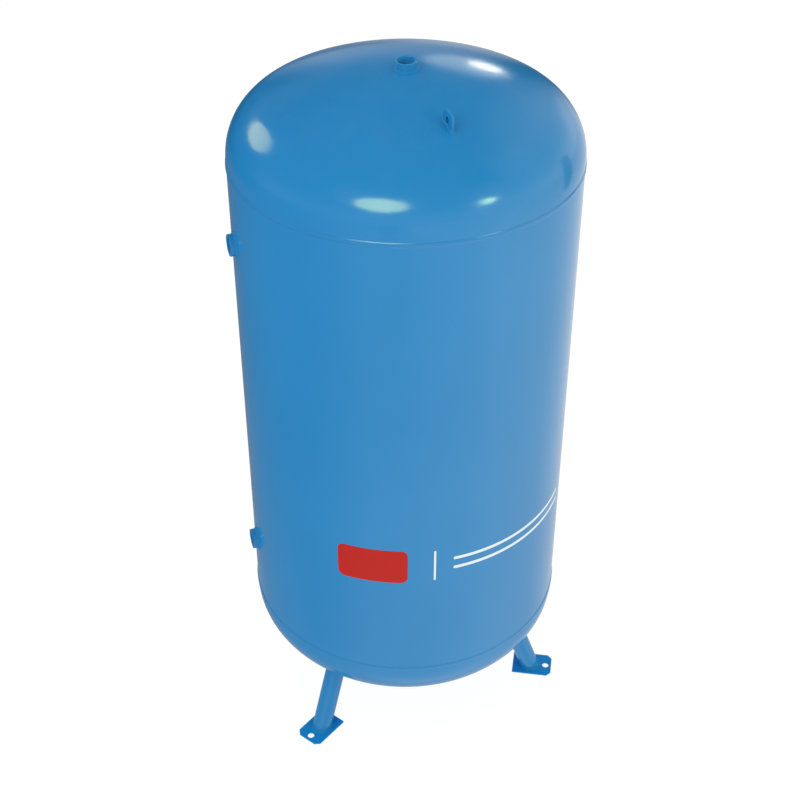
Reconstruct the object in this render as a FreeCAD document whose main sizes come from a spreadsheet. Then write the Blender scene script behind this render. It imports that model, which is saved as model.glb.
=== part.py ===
import FreeCAD, Part
import Sketcher
import math
import os
from FreeCAD import Vector, Rotation, Placement

# Vertical compressed-air receiver on three splayed tube legs, in millimetres.
# +Z is up, the vessel axis is the Z axis and Z = 0 is the floor (underside of the
# foot plates).  -Y is the front (lifting lug), the two side connections leave
# towards -X, and the rear leg stands on the +Y side.

doc = FreeCAD.newDocument("air_receiver")
sheet = doc.addObject("Spreadsheet::Sheet", "dims")

# Driving dimensions: millimetres, or degrees for azimuths, turns and tilts.
DRIVING = [
    # vessel
    ("shell_radius", 550.0), ("shell_wall", 6.0), ("shell_length", 1691.5),
    ("bottom_seam_height", 485.0),
    ("crown_radius", 1100.0), ("knuckle_radius", 187.0),
    ("top_flange", 19.0), ("bottom_flange", 19.0),
    # butt welds: groove widths inside and outside, and the outer cap
    ("weld_root", 3.0), ("weld_face", 9.0), ("weld_cap_width", 17.0), ("weld_cap_rise", 2.5),
    ("long_cap_width", 13.0), ("long_seam_azimuth", 60.0),
    # G2 connections
    ("socket_radius", 35.0), ("socket_bore_radius", 28.33), ("socket_chamfer", 1.0),
    ("fillet_weld", 7.0), ("socket_gap", 0.5),
    ("top_socket_rise", 25.5), ("top_socket_length", 50.0), ("port_turn", 3.75),
    ("upper_port_height", 1954.7), ("upper_port_stickout", 20.4), ("upper_port_length", 45.0),
    ("lower_port_height", 748.7), ("lower_port_stickout", 22.0), ("lower_port_length", 45.0),
    # lifting lug: reaches are measured forwards from the vessel axis
    ("lug_inner", 282.0), ("lug_outer", 342.5), ("lug_thickness", 8.0), ("lug_root_drop", 120.0),
    ("lug_outer_top", 2452.5), ("lug_inner_top", 2459.5),
    ("lug_corner_drop", 15.0), ("lug_corner_run", 17.0),
    ("lug_outer_setback", 3.0), ("lug_outer_lift", 0.8), ("lug_outer_round", 4.0),
    ("lug_inner_setback", 3.0), ("lug_inner_dip", 0.8), ("lug_inner_fall", 2.4),
    ("lug_inner_round", 8.0),
    ("lug_hole_radius", 9.0), ("lug_hole_reach", 312.0), ("lug_hole_height", 2431.5),
    ("lug_turn", 0.95),
    # weld round the lug: how far its foot is sunk and flared, and its top tucked in
    ("lug_weld", 5.0), ("lug_weld_sunk", 6.0), ("lug_weld_side_flare", 3.0),
    ("lug_weld_end_flare", 5.0), ("lug_weld_side_tuck", 0.5), ("lug_weld_end_tuck", 2.0),
    # legs and feet
    ("leg_radius", 35.0), ("leg_wall", 3.0), ("leg_tilt", 20.7), ("leg_foot_reach", 495.3),
    ("leg_weld", 6.0), ("foot_weld", 5.0),
    ("foot_inner", 431.0), ("foot_outer", 580.0), ("foot_width", 103.5), ("foot_thickness", 6.0),
    ("foot_corner", 16.0), ("foot_hole_radius", 12.5), ("foot_hole_reach", 558.0),
    # condensate drain: G3/4 socket and nipple
    ("drain_socket_radius", 17.0), ("drain_thread_radius", 12.06), ("drain_socket_drop", 20.0),
    ("drain_socket_length", 34.0), ("drain_weld", 5.0),
    ("nipple_hex", 30.0), ("nipple_hex_thick", 10.0), ("thread_depth", 14.0), ("nipple_bore", 8.0),
    # quarter-turn ball valve: body, ball and seats
    ("ball_radius", 14.0), ("ball_bore", 9.0), ("slot_width", 3.2), ("slot_depth", 3.0),
    ("seat_radius", 15.5), ("seat_back", 15.0), ("seat_clearance", 0.05), ("seat_lip", 2.5),
    ("thread_shelf", 1.0), ("valve_barrel", 21.0), ("barrel_drop", 24.0), ("valve_hex", 32.0),
    ("retainer_radius", 17.0), ("retainer_overlap", 4.0),
    ("boss_radius", 10.0), ("boss_reach", 32.0),
    ("shoulder_bore_radius", 6.0), ("shoulder_bore_depth", 18.0),
    ("stop_length", 8.0), ("stop_thickness", 5.0), ("stop_start", 6.0), ("stop_gap", 0.1),
    # stem: stem_start and tang_start lie beyond the surface of the ball
    ("stem_radius", 4.0), ("stem_clearance", 0.05), ("stem_start", 0.5), ("stem_length", 26.8),
    ("shoulder_radius", 5.5), ("shoulder_length", 3.4),
    ("stem_tip_radius", 3.0), ("stem_tip_length", 37.5), ("flat_offset", 3.0), ("flat_start", 38.0),
    ("tang_start", 0.8), ("tang_thickness", 3.0), ("tang_width", 3.6), ("tang_height", 8.0),
    # stem packing and its nut
    ("gland_radius", 7.0), ("gland_seat", 24.0), ("packing_length", 3.0),
    ("gland_hex", 17.0), ("gland_hex_thick", 5.0), ("gland_thread_length", 6.0),
    # lever
    ("lever_width", 20.0), ("lever_thickness", 3.0), ("lever_reach", 105.0), ("lever_offset", 38.5),
    ("lever_hub_radius", 12.0), ("lever_neck", 20.0), ("lever_neck_inset", 1.5),
    ("tab_reach", 13.6), ("tab_thickness", 3.0), ("tab_length", 13.5), ("tab_height", 8.0),
    ("sleeve_length", 68.0), ("sleeve_wall", 1.8),
    ("lever_nut_hex", 10.0), ("lever_nut_thick", 5.0),
    # data plate
    ("plate_azimuth", 20.0), ("plate_height", 1300.0),
    ("bracket_width", 130.0), ("bracket_tall", 92.0), ("bracket_depth", 26.0),
    ("bracket_gauge", 2.0),
    ("plate_width", 112.0), ("plate_tall", 74.0), ("plate_gauge", 1.0), ("plate_corner", 4.0),
    ("rivet_inset", 6.0), ("rivet_hole", 1.65), ("rivet_shank", 1.6), ("rivet_shank_excess", 0.5),
    ("rivet_dome_radius", 4.0), ("rivet_dome_rise", 1.4),
    ("rivet_tail_radius", 2.6), ("rivet_tail_thick", 0.8),
    ("bracket_weld_depth", 12.0), ("bracket_weld_crest", 4.0), ("bracket_weld_width", 8.0),
    ("bracket_weld_rise", 1.0), ("bracket_weld_margin", 6.0),
    # self-adhesive decals
    ("decal_gauge", 0.3), ("panel_azimuth", -122.8), ("panel_height", 964.5), ("panel_width", 236.0),
    ("panel_tall", 140.0), ("panel_corner", 24.0),
    ("rule_azimuth", -101.2), ("rule_width", 7.0), ("rule_tall", 128.0), ("rule_corner", 2.0),
    ("bars_azimuth", -67.0), ("bars_width", 530.0), ("bars_tall", 12.0), ("bars_corner", 4.0),
    ("bars_pitch", 40.0),
]


# --------------------------------------------------------------------------
# Values that know the sheet expression producing them
# --------------------------------------------------------------------------
class Quantity:
    """A number together with its sheet expression."""

    def __init__(self, value, text):
        self.value = float(value)
        self.text = text

    @staticmethod
    def of(other):
        if isinstance(other, Quantity):
            return other
        return Quantity(other, "%.9g" % other if other >= 0 else "(0 - %.9g)" % -other)

    def __add__(self, other):
        other = Quantity.of(other)
        return Quantity(self.value + other.value, "(%s + %s)" % (self.text, other.text))

    def __sub__(self, other):
        other = Quantity.of(other)
        return Quantity(self.value - other.value, "(%s - %s)" % (self.text, other.text))

    def __rsub__(self, other):
        return Quantity.of(other) - self

    def __mul__(self, other):
        other = Quantity.of(other)
        return Quantity(self.value * other.value, "(%s * %s)" % (self.text, other.text))

    __rmul__ = __mul__

    def __truediv__(self, other):
        other = Quantity.of(other)
        return Quantity(self.value / other.value, "(%s / %s)" % (self.text, other.text))

    def __neg__(self):
        return Quantity(-self.value, "(0 - %s)" % self.text)


def sqrt_of(q):
    return Quantity(math.sqrt(q.value), "sqrt(%s)" % q.text)


def sin_of(q):
    return Quantity(math.sin(math.radians(q.value)), "sin(%s)" % q.text)


def cos_of(q):
    return Quantity(math.cos(math.radians(q.value)), "cos(%s)" % q.text)


def asin_of(q):
    return Quantity(math.degrees(math.asin(q.value)), "(asin(%s) / 1 deg)" % q.text)


class Dimensions:
    """Holds every driving dimension as an attribute, spelt as in expressions."""


dims = Dimensions()
sheet.set("A1", "dimension")
sheet.set("B1", "millimetres or degrees")
for row, (name, value) in enumerate(DRIVING, 2):
    sheet.set("A%d" % row, name)
    sheet.set("B%d" % row, "%.9g" % value)
    sheet.setAlias("B%d" % row, name)
    setattr(dims, name, Quantity(value, "dims." + name))
doc.recompute()


def bind(obj, path, quantity):
    """Binds a property to the sheet where its value comes from it."""
    if "dims." in quantity.text:
        obj.setExpression(path, quantity.text)


# --------------------------------------------------------------------------
# Placing.  A turn is a Rotation or a pair (axis, angle).
# --------------------------------------------------------------------------
ORIGIN = (0, 0, 0)
TO_FRONT = ((1, 0, 0), 90)       # local Z to -Y
TO_RIGHT = ((0, 1, 0), 90)       # local Z to +X
TO_LEFT = ((0, 1, 0), -90)       # local Z to -X
UPSIDE_DOWN = ((1, 0, 0), 180)


def place(obj, base=ORIGIN, turn=None):
    base = [Quantity.of(coordinate) for coordinate in base]
    angle = None
    if turn is None:
        turn = Rotation()
    elif isinstance(turn, tuple):
        axis, angle = turn[0], Quantity.of(turn[1])
        turn = Rotation(Vector(*axis), angle.value)
    obj.Placement = Placement(Vector(*[q.value for q in base]), turn)
    for tag, q in zip("xyz", base):
        bind(obj, "Placement.Base." + tag, q)
    if angle is not None:
        bind(obj, "Placement.Rotation.Angle", angle)
    return obj


def swing(obj, azimuth):
    """Turns an object about the vessel axis, anticlockwise seen from above."""
    return place(obj, turn=((0, 0, 1), azimuth))


# --------------------------------------------------------------------------
# Bodies made from constrained sketches
# --------------------------------------------------------------------------
LEFT, RIGHT = 1, -1              # side of an edge on which its arc's centre lies


def constrain(sketch, name, kind, target, quantity):
    index = sketch.addConstraint(Sketcher.Constraint(kind, *target, quantity.value))
    sketch.renameConstraint(index, name)
    bind(sketch, "Constraints." + name, quantity)


def add_arc(sketch, start, end, radius, side):
    """Adds the arc from start to end; returns (geometry, start vertex, end vertex)."""
    half = (end - start).Length / 2
    along = (end - start).normalize()
    left = Vector(-along.y, along.x, 0)
    rise = math.sqrt(max(radius ** 2 - half ** 2, 0.0))
    centre = (start + end) * 0.5 + left * (side * rise)
    start_angle = math.atan2(start.y - centre.y, start.x - centre.x)
    end_angle = math.atan2(end.y - centre.y, end.x - centre.x)
    circle = Part.Circle(centre, Vector(0, 0, 1), radius)
    if side == LEFT:             # runs anticlockwise, as sketch arcs do
        return sketch.addGeometry(Part.ArcOfCircle(circle, start_angle, end_angle), False), 1, 2
    return sketch.addGeometry(Part.ArcOfCircle(circle, end_angle, start_angle), False), 2, 1


def add_sketch(body, name, role, corners, arcs=None, circles=()):
    """Closed loop through corners on an origin plane, fully constrained.
    arcs maps edge index -> (radius, side of centre); circles are (x, y, radius)."""
    arcs = arcs or {}
    sketch = body.newObject("Sketcher::SketchObject", name)
    support = next(f for f in body.Origin.OriginFeatures if f.Role == role)
    sketch.AttachmentSupport = [(support, "")]
    sketch.MapMode = "FlatFace"
    count = len(corners)
    corners = [(Quantity.of(x), Quantity.of(y)) for x, y in corners]
    points = [Vector(x.value, y.value, 0) for x, y in corners]
    edges = []
    for i in range(count):
        start, end = points[i], points[(i + 1) % count]
        if i in arcs:
            radius, side = arcs[i]
            edges.append(add_arc(sketch, start, end, Quantity.of(radius).value, side))
        else:
            edges.append((sketch.addGeometry(Part.LineSegment(start, end), False), 1, 2))
    for i in range(count):
        edge, _, end = edges[i]
        following, start, _ = edges[(i + 1) % count]
        sketch.addConstraint(Sketcher.Constraint("Coincident", edge, end, following, start))
    for i, (x, y) in enumerate(corners):
        edge, start, _ = edges[i]
        constrain(sketch, "x%d" % i, "DistanceX", (-1, 1, edge, start), x)
        constrain(sketch, "y%d" % i, "DistanceY", (-1, 1, edge, start), y)
        if i in arcs:
            constrain(sketch, "r%d" % i, "Radius", (edge,), Quantity.of(arcs[i][0]))
    for i, circle in enumerate(circles):
        x, y, radius = [Quantity.of(q) for q in circle]
        ring = Part.Circle(Vector(x.value, y.value, 0), Vector(0, 0, 1), radius.value)
        edge = sketch.addGeometry(ring, False)
        constrain(sketch, "cx%d" % i, "DistanceX", (-1, 1, edge, 3), x)
        constrain(sketch, "cy%d" % i, "DistanceY", (-1, 1, edge, 3), y)
        constrain(sketch, "cr%d" % i, "Radius", (edge,), radius)
    return sketch


def new_body(label):
    body = doc.addObject("PartDesign::Body", "Body_" + label)
    body.Label = label
    return body


def revolved(label, corners, arcs=None):
    """Body turned about its own Z axis from a half section (radius, z)."""
    body = new_body(label)
    sketch = add_sketch(body, "section_" + label, "XZ_Plane", corners, arcs)
    turned = body.newObject("PartDesign::Revolution", "turned_" + label)
    turned.Profile = sketch
    turned.ReferenceAxis = (sketch, ["V_Axis"])
    turned.Angle = 360.0
    body.Tip = turned
    doc.recompute()
    return body


def padded(label, corners, length, arcs=None, circles=(), role="XY_Plane", midplane=False):
    body = new_body(label)
    sketch = add_sketch(body, "outline_" + label, role, corners, arcs, circles)
    pad = body.newObject("PartDesign::Pad", "pad_" + label)
    pad.Profile = sketch
    length = Quantity.of(length)
    pad.Length = length.value
    bind(pad, "Length", length)
    pad.Midplane = midplane
    body.Tip = pad
    doc.recompute()
    return body


def hexagon(label, across_flats, thickness, base, turn=None):
    """Hexagonal bar with two corners on its local X axis."""
    corner_radius = across_flats / math.sqrt(3.0)
    angles = [math.radians(60 * k) for k in range(6)]
    corners = [(corner_radius * round(math.cos(angle), 12),
                corner_radius * round(math.sin(angle), 12)) for angle in angles]
    return place(padded(label, corners, thickness), base, turn)


# --------------------------------------------------------------------------
# Primitives and booleans
# --------------------------------------------------------------------------
numbers = iter(range(1, 1000))


def feature(kind, stem, label=None, role="step"):
    """Adds a numbered object; without a label it gets a numbered one."""
    number = next(numbers)
    obj = doc.addObject(kind, "%s%03d" % (stem, number))
    obj.Label = label or "%s_%03d" % (role, number)
    return obj


def primitive(kind, **sizes):
    obj = feature(kind, "prim", role="tool")
    for key, q in sizes.items():
        q = Quantity.of(q)
        setattr(obj, key, q.value)
        bind(obj, key, q)
    return obj


def cylinder(radius, height, base=ORIGIN, turn=None):
    return place(primitive("Part::Cylinder", Radius=radius, Height=height), base, turn)


def sphere(radius, z):
    return place(primitive("Part::Sphere", Radius=radius), (0, 0, z))


def box(size, corner):
    length, width, height = size
    return place(primitive("Part::Box", Length=length, Width=width, Height=height), corner)


def cut(label, base, *tools):
    """Cuts the tools off one after another; only the last step is labelled."""
    for tool in tools:
        step = feature("Part::Cut", "cut")
        step.Base = base
        step.Tool = tool
        base = step
    if label:
        base.Label = label
    return base


def fuse(label, *objs):
    fused = feature("Part::MultiFuse", "fuse", label)
    fused.Shapes = list(objs)
    return fused


def common(label, first, second):
    shared = feature("Part::MultiCommon", "common", label)
    shared.Shapes = [first, second]
    return shared


def group(label, *objs):
    compound = feature("Part::Compound", "group", label)
    compound.Links = list(objs)
    return compound


# --------------------------------------------------------------------------
# Vessel geometry shared by the sections below
# --------------------------------------------------------------------------
outer_r = dims.shell_radius
inner_r = outer_r - dims.shell_wall
crown_r, knuckle_r = dims.crown_radius, dims.knuckle_radius
crown_inner_r, knuckle_inner_r = crown_r - dims.shell_wall, knuckle_r - dims.shell_wall
bottom_seam = dims.bottom_seam_height
top_seam = bottom_seam + dims.shell_length

# Rise of the dished part, and the tangent point of crown and knuckle
dish = crown_r - sqrt_of((crown_r - knuckle_r) * (crown_r - knuckle_r)
                         - (outer_r - knuckle_r) * (outer_r - knuckle_r))
tangent_sine = (outer_r - knuckle_r) / (crown_r - knuckle_r)
tangent_cosine = sqrt_of(1 - tangent_sine * tangent_sine)

top_knuckle = top_seam + dims.top_flange           # where the knuckles start
bottom_knuckle = bottom_seam - dims.bottom_flange
top_centre = top_knuckle + dish - crown_r          # centres of the crown spheres
bottom_centre = bottom_knuckle - dish + crown_r
apex = top_centre + crown_r
nadir = bottom_centre - crown_r

socket_hole = dims.socket_radius + dims.socket_gap
drain_hole = dims.drain_socket_radius + dims.socket_gap


def crown_rise(sphere_radius, distance):
    """Height of a sphere over its centre at a distance from the axis."""
    return sqrt_of(sphere_radius * sphere_radius - distance * distance)


def on_top(distance):
    """Height of the top head's outer crown at a distance from the axis."""
    return top_centre + crown_rise(crown_r, distance)


def on_bottom(distance):
    """Height of the bottom head's outer crown at a distance from the axis."""
    return bottom_centre - crown_rise(crown_r, distance)


# --------------------------------------------------------------------------
# Shell with the V groove of its longitudinal weld and the two side port holes
# --------------------------------------------------------------------------
GROOVE_DEPTH_PAST, GROOVE_END_PAST = 10, 50        # how far the cutter runs past the wall
PORT_HOLE_PAST = 100                               # port drill, each way from the wall

root_half, face_half = dims.weld_root / 2, dims.weld_face / 2
shell_ring = revolved("shell_ring", [
    (inner_r, bottom_seam + root_half), (outer_r, bottom_seam + face_half),
    (outer_r, top_seam - face_half), (inner_r, top_seam - root_half)])

root_x = sqrt_of(inner_r * inner_r - root_half * root_half)
face_x = sqrt_of(outer_r * outer_r - face_half * face_half)
slope = (face_half - root_half) / (face_x - root_x)
mouth_x = face_x + GROOVE_DEPTH_PAST
mouth_half = face_half + slope * GROOVE_DEPTH_PAST
groove = padded("long_groove", [
    (root_x - root_half / slope, 0.0), (mouth_x, -mouth_half), (mouth_x, mouth_half)],
    dims.shell_length + 2 * GROOVE_END_PAST)
place(groove, (0, 0, bottom_seam - GROOVE_END_PAST), ((0, 0, 1), dims.long_seam_azimuth))

# side ports: name, height, stick-out, length
PORTS = [
    ("upper", dims.upper_port_height, dims.upper_port_stickout, dims.upper_port_length),
    ("lower", dims.lower_port_height, dims.lower_port_stickout, dims.lower_port_length),
]
INWARDS, OUTWARDS = 90, -90


def place_port(obj, reach, z, tip):
    """Puts an object on a side port's axis, which is swung clockwise from -X."""
    turn = Rotation(Vector(0, 0, -1), dims.port_turn.value)
    turn = turn.multiply(Rotation(Vector(0, 1, 0), tip))
    base = (-(reach * cos_of(dims.port_turn)), reach * sin_of(dims.port_turn), z)
    return place(obj, base, turn)


port_holes = [
    place_port(cylinder(socket_hole, 2 * PORT_HOLE_PAST), outer_r + PORT_HOLE_PAST, z, INWARDS)
    for _, z, _, _ in PORTS]
cut("shell", shell_ring, groove, *port_holes)

# --------------------------------------------------------------------------
# Butt welds
# --------------------------------------------------------------------------
cap_half, long_cap_half = dims.weld_cap_width / 2, dims.long_cap_width / 2


def cap_radius(half_width):
    rise = dims.weld_cap_rise
    return (half_width * half_width + rise * rise) / (rise * 2)


def girth_weld(label, z):
    return revolved(label, [
        (inner_r, z - root_half), (outer_r, z - face_half), (outer_r, z - cap_half),
        (outer_r, z + cap_half), (outer_r, z + face_half), (inner_r, z + root_half)],
        {2: (cap_radius(cap_half), LEFT)})


bottom_girth_weld = girth_weld("bottom_girth_weld", bottom_seam)
top_girth_weld = girth_weld("top_girth_weld", top_seam)

cap_x = sqrt_of(outer_r * outer_r - long_cap_half * long_cap_half)
long_bar = padded("long_bar", [
    (root_x, -root_half), (face_x, -face_half), (cap_x, -long_cap_half),
    (cap_x, long_cap_half), (face_x, face_half), (root_x, root_half)],
    dims.shell_length,
    {1: (outer_r, RIGHT), 2: (cap_radius(long_cap_half), LEFT),
     3: (outer_r, RIGHT), 5: (inner_r, RIGHT)})
place(long_bar, (0, 0, bottom_seam), ((0, 0, 1), dims.long_seam_azimuth))
cut("longitudinal_weld", long_bar, bottom_girth_weld, top_girth_weld)

# --------------------------------------------------------------------------
# Torispherical heads, each with the hole of its central connection
# --------------------------------------------------------------------------
tangent_r, tangent_inner_r = crown_r * tangent_sine, crown_inner_r * tangent_sine
revolved("top_head", [
    (inner_r, top_seam + root_half), (outer_r, top_seam + face_half), (outer_r, top_knuckle),
    (tangent_r, top_centre + crown_r * tangent_cosine),
    (socket_hole, on_top(socket_hole)),
    (socket_hole, top_centre + crown_rise(crown_inner_r, socket_hole)),
    (tangent_inner_r, top_centre + crown_inner_r * tangent_cosine), (inner_r, top_knuckle)],
    {2: (knuckle_r, LEFT), 3: (crown_r, LEFT),
     5: (crown_inner_r, RIGHT), 6: (knuckle_inner_r, RIGHT)})
revolved("bottom_head", [
    (inner_r, bottom_seam - root_half), (inner_r, bottom_knuckle),
    (tangent_inner_r, bottom_centre - crown_inner_r * tangent_cosine),
    (drain_hole, bottom_centre - crown_rise(crown_inner_r, drain_hole)),
    (drain_hole, on_bottom(drain_hole)),
    (tangent_r, bottom_centre - crown_r * tangent_cosine),
    (outer_r, bottom_knuckle), (outer_r, bottom_seam - face_half)],
    {1: (knuckle_inner_r, RIGHT), 2: (crown_inner_r, RIGHT),
     4: (crown_r, LEFT), 5: (knuckle_r, LEFT)})


# --------------------------------------------------------------------------
# Threaded connections (thread cores shown as plain bores) and their welds
# --------------------------------------------------------------------------
def socket(label, length, outer, bore):
    """Local Z runs outwards; the mouth is at Z = length."""
    chamfer = dims.socket_chamfer
    return revolved(label, [
        (bore + chamfer, 0), (outer, 0), (outer, length - chamfer), (outer - chamfer, length),
        (bore + chamfer, length), (bore, length - chamfer), (bore, chamfer)])


socket_r, fillet = dims.socket_radius, dims.fillet_weld
top_socket = socket("top_port_socket", dims.top_socket_length, socket_r, dims.socket_bore_radius)
place(top_socket, (0, 0, apex + dims.top_socket_rise - dims.top_socket_length))
for name, z, stickout, length in PORTS:
    side_socket = socket(name + "_side_socket", length, socket_r, dims.socket_bore_radius)
    place_port(side_socket, outer_r + stickout - length, z, OUTWARDS)

hole_edge = on_top(socket_hole)
revolved("top_port_weld", [
    (socket_r, hole_edge), (socket_hole, hole_edge),
    (socket_r + fillet, on_top(socket_r + fillet)), (socket_r, hole_edge + fillet)],
    {1: (crown_r, RIGHT)})

SIDE_WELD_SUNK = 2                                 # cone base below the shell surface
SOCKET_CORE_SUNK, SOCKET_CORE_LENGTH = 20, 60
shell_core = cylinder(outer_r, dims.shell_length, (0, 0, bottom_seam))


def side_weld(label, z):
    cone = primitive("Part::Cone", Radius1=socket_r + fillet + SIDE_WELD_SUNK, Radius2=socket_r,
                     Height=fillet + SIDE_WELD_SUNK)
    place(cone, (-(outer_r - SIDE_WELD_SUNK), 0, z), TO_LEFT)
    core = cylinder(socket_r, SOCKET_CORE_LENGTH, (-(outer_r - SOCKET_CORE_SUNK), 0, z), TO_LEFT)
    weld = cut(label, cone, shell_core, core)
    return place(weld, turn=((0, 0, -1), dims.port_turn))


for name, z, _, _ in PORTS:
    side_weld(name + "_side_weld", z)

# --------------------------------------------------------------------------
# Lifting lug: upright plate in the radial plane at the front of the top head
# --------------------------------------------------------------------------
lug_in, lug_out = dims.lug_inner, dims.lug_outer
lug_foot = apex - dims.lug_root_drop
corner_x = lug_in + dims.lug_corner_run
lug_blank = padded("lug_blank", [
    (lug_in, lug_foot), (lug_out, lug_foot),
    (lug_out, dims.lug_outer_top - dims.lug_outer_setback),
    (lug_out - dims.lug_outer_setback, dims.lug_outer_top + dims.lug_outer_lift),
    (corner_x + dims.lug_inner_setback, dims.lug_inner_top - dims.lug_inner_dip),
    (corner_x - dims.lug_inner_setback, dims.lug_inner_top - dims.lug_inner_fall),
    (lug_in, dims.lug_inner_top - dims.lug_corner_drop)],
    dims.lug_thickness,
    {2: (dims.lug_outer_round, LEFT), 4: (dims.lug_inner_round, LEFT)},
    circles=[(dims.lug_hole_reach, dims.lug_hole_height, dims.lug_hole_radius)],
    role="XZ_Plane", midplane=True)
swing(lug_blank, -90)
top_ball = sphere(crown_r, top_centre)
swing(cut("lifting_lug", lug_blank, top_ball), dims.lug_turn)

# Weld all round the lug foot: local X across the lug, local Y along the
# outward normal of the head, local Z down the slope
half_side, half_end = dims.lug_thickness / 2, (lug_out - lug_in) / 2
base_side = half_side + dims.lug_weld + dims.lug_weld_side_flare
base_end = half_end + dims.lug_weld + dims.lug_weld_end_flare
tip_side = half_side - dims.lug_weld_side_tuck
tip_end = half_end - dims.lug_weld_end_tuck
lug_middle = (lug_in + lug_out) / 2
lug_weld_bar = primitive(
    "Part::Wedge", Xmin=-base_side, Xmax=base_side, Ymin=-dims.lug_weld_sunk, Ymax=dims.lug_weld,
    Zmin=-base_end, Zmax=base_end, X2min=-tip_side, X2max=tip_side, Z2min=-tip_end, Z2max=tip_end)
place(lug_weld_bar, (0, -lug_middle, on_top(lug_middle)),
      ((1, 0, 0), asin_of(lug_middle / crown_r) + 90))
swing(cut("lifting_lug_weld", lug_weld_bar, top_ball, lug_blank), dims.lug_turn)

# --------------------------------------------------------------------------
# Legs: tubes leaning outwards, cut to the crown of the bottom head.
# Each is built towards +X, then swung to its azimuth.
# --------------------------------------------------------------------------
LEGS = [("left", -150.0), ("right", -30.0), ("rear", 90.0)]
BAR_BELOW, BAR_ABOVE = 40, 80    # leg bars run past the foot plate and the head
BORE_EXTRA = 10                  # the bore runs further still at each end
BLOCK_SIDE, BLOCK_DEPTH = 400, 100

leg_r, foot_reach, foot_top = dims.leg_radius, dims.leg_foot_reach, dims.foot_thickness
tilt_sine, tilt_cosine = sin_of(dims.leg_tilt), cos_of(dims.leg_tilt)

# Length of the leg axis from the foot plate to the crown sphere (root of a quadratic)
centre_drop = foot_top - bottom_centre
half_linear = -(foot_reach * tilt_sine) + centre_drop * tilt_cosine
constant = foot_reach * foot_reach + centre_drop * centre_drop - crown_r * crown_r
leg_run = -half_linear - sqrt_of(half_linear * half_linear - constant)
leg_head_reach = foot_reach - leg_run * tilt_sine
leg_head_height = foot_top + leg_run * tilt_cosine


def leg_bar(radius, extra=0):
    below, above = BAR_BELOW + extra, BAR_ABOVE + extra
    start = (foot_reach + tilt_sine * below, 0, foot_top - tilt_cosine * below)
    return cylinder(radius, leg_run + (below + above), start, ((0, 1, 0), -dims.leg_tilt))


def below_plate_top():
    """Block that clears everything below the top of a foot plate."""
    return box((BLOCK_SIDE, BLOCK_SIDE, foot_top + BLOCK_DEPTH),
               (foot_reach - BLOCK_SIDE / 2, -BLOCK_SIDE / 2, -BLOCK_DEPTH))


def leg_tube(label):
    outer = leg_bar(leg_r)
    bore = leg_bar(leg_r - dims.leg_wall, BORE_EXTRA)
    return cut(label, outer, bore, below_plate_top(), bottom_ball)


def leg_top_weld():
    ring = primitive("Part::Torus", Radius1=leg_r, Radius2=dims.leg_weld)
    place(ring, (leg_head_reach, 0, leg_head_height),
          ((0, 1, 0), -asin_of(leg_head_reach / crown_r)))
    return cut(None, ring, leg_bar(leg_r), sphere(crown_r, bottom_centre))


def leg_foot_weld():
    """Bead swept along the ellipse in which the tube meets the foot plate."""
    path = primitive("Part::Ellipse", MajorRadius=leg_r / tilt_cosine, MinorRadius=leg_r)
    place(path, (foot_reach, 0, foot_top))
    profile = primitive("Part::Circle", Radius=dims.foot_weld)
    place(profile, (foot_reach + leg_r / tilt_cosine, 0, foot_top), TO_FRONT)
    bead = feature("Part::Sweep", "bead")
    bead.Sections = [profile]
    bead.Spine = (path, ["Edge1"])
    bead.Solid = True
    bead.Frenet = True
    return cut(None, bead, leg_bar(leg_r), below_plate_top())


def foot_plate(label):
    """Plate with two clipped outer corners and an anchor hole."""
    half, corner = dims.foot_width / 2, dims.foot_corner
    inner, outer = dims.foot_inner, dims.foot_outer
    return padded(label, [
        (inner, -half), (outer - corner, -half), (outer, -(half - corner)),
        (outer, half - corner), (outer - corner, half), (inner, half)],
        foot_top, circles=[(dims.foot_hole_reach, 0.0, dims.foot_hole_radius)])


bottom_ball = sphere(crown_r, bottom_centre)
leg_top_welds, leg_foot_welds = [], []
for side, azimuth in LEGS:
    swing(leg_tube("leg_" + side), azimuth)
    leg_top_welds.append(swing(leg_top_weld(), azimuth))
    leg_foot_welds.append(swing(leg_foot_weld(), azimuth))
    swing(foot_plate("foot_plate_" + side), azimuth)
group("leg_top_welds", *leg_top_welds)
group("leg_foot_welds", *leg_foot_welds)

# --------------------------------------------------------------------------
# Condensate drain under the bottom head: socket, weld and nipple
# --------------------------------------------------------------------------
drain_r, thread_r, thread = dims.drain_socket_radius, dims.drain_thread_radius, dims.thread_depth
socket_face = nadir - dims.drain_socket_drop
drain_socket = socket("drain_socket", dims.drain_socket_length, drain_r, thread_r)
place(drain_socket, (0, 0, socket_face + dims.drain_socket_length), UPSIDE_DOWN)

weld_r, hole_edge = drain_r + dims.drain_weld, on_bottom(drain_hole)
revolved("drain_socket_weld", [
    (drain_r, hole_edge - dims.drain_weld), (weld_r, on_bottom(weld_r)),
    (drain_hole, hole_edge), (drain_r, hole_edge)],
    {1: (crown_r, RIGHT)})


def upright(radius, bottom, height):
    """Cylinder on the vessel axis."""
    return cylinder(radius, height, (0, 0, bottom))


NIPPLE_BORE_PAST = 5
valve_top = socket_face - dims.nipple_hex_thick    # lower face of the nipple's hexagon
nipple_length = dims.nipple_hex_thick + thread * 2
nipple_hex = hexagon("nipple_hex_blank", dims.nipple_hex, dims.nipple_hex_thick,
                     (0, 0, valve_top))
spigot = upright(thread_r, valve_top - thread, nipple_length)
nipple_bore = upright(dims.nipple_bore, valve_top - thread - NIPPLE_BORE_PAST,
                      nipple_length + 2 * NIPPLE_BORE_PAST)
cut("drain_nipple", fuse(None, nipple_hex, spigot), nipple_bore)

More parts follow.
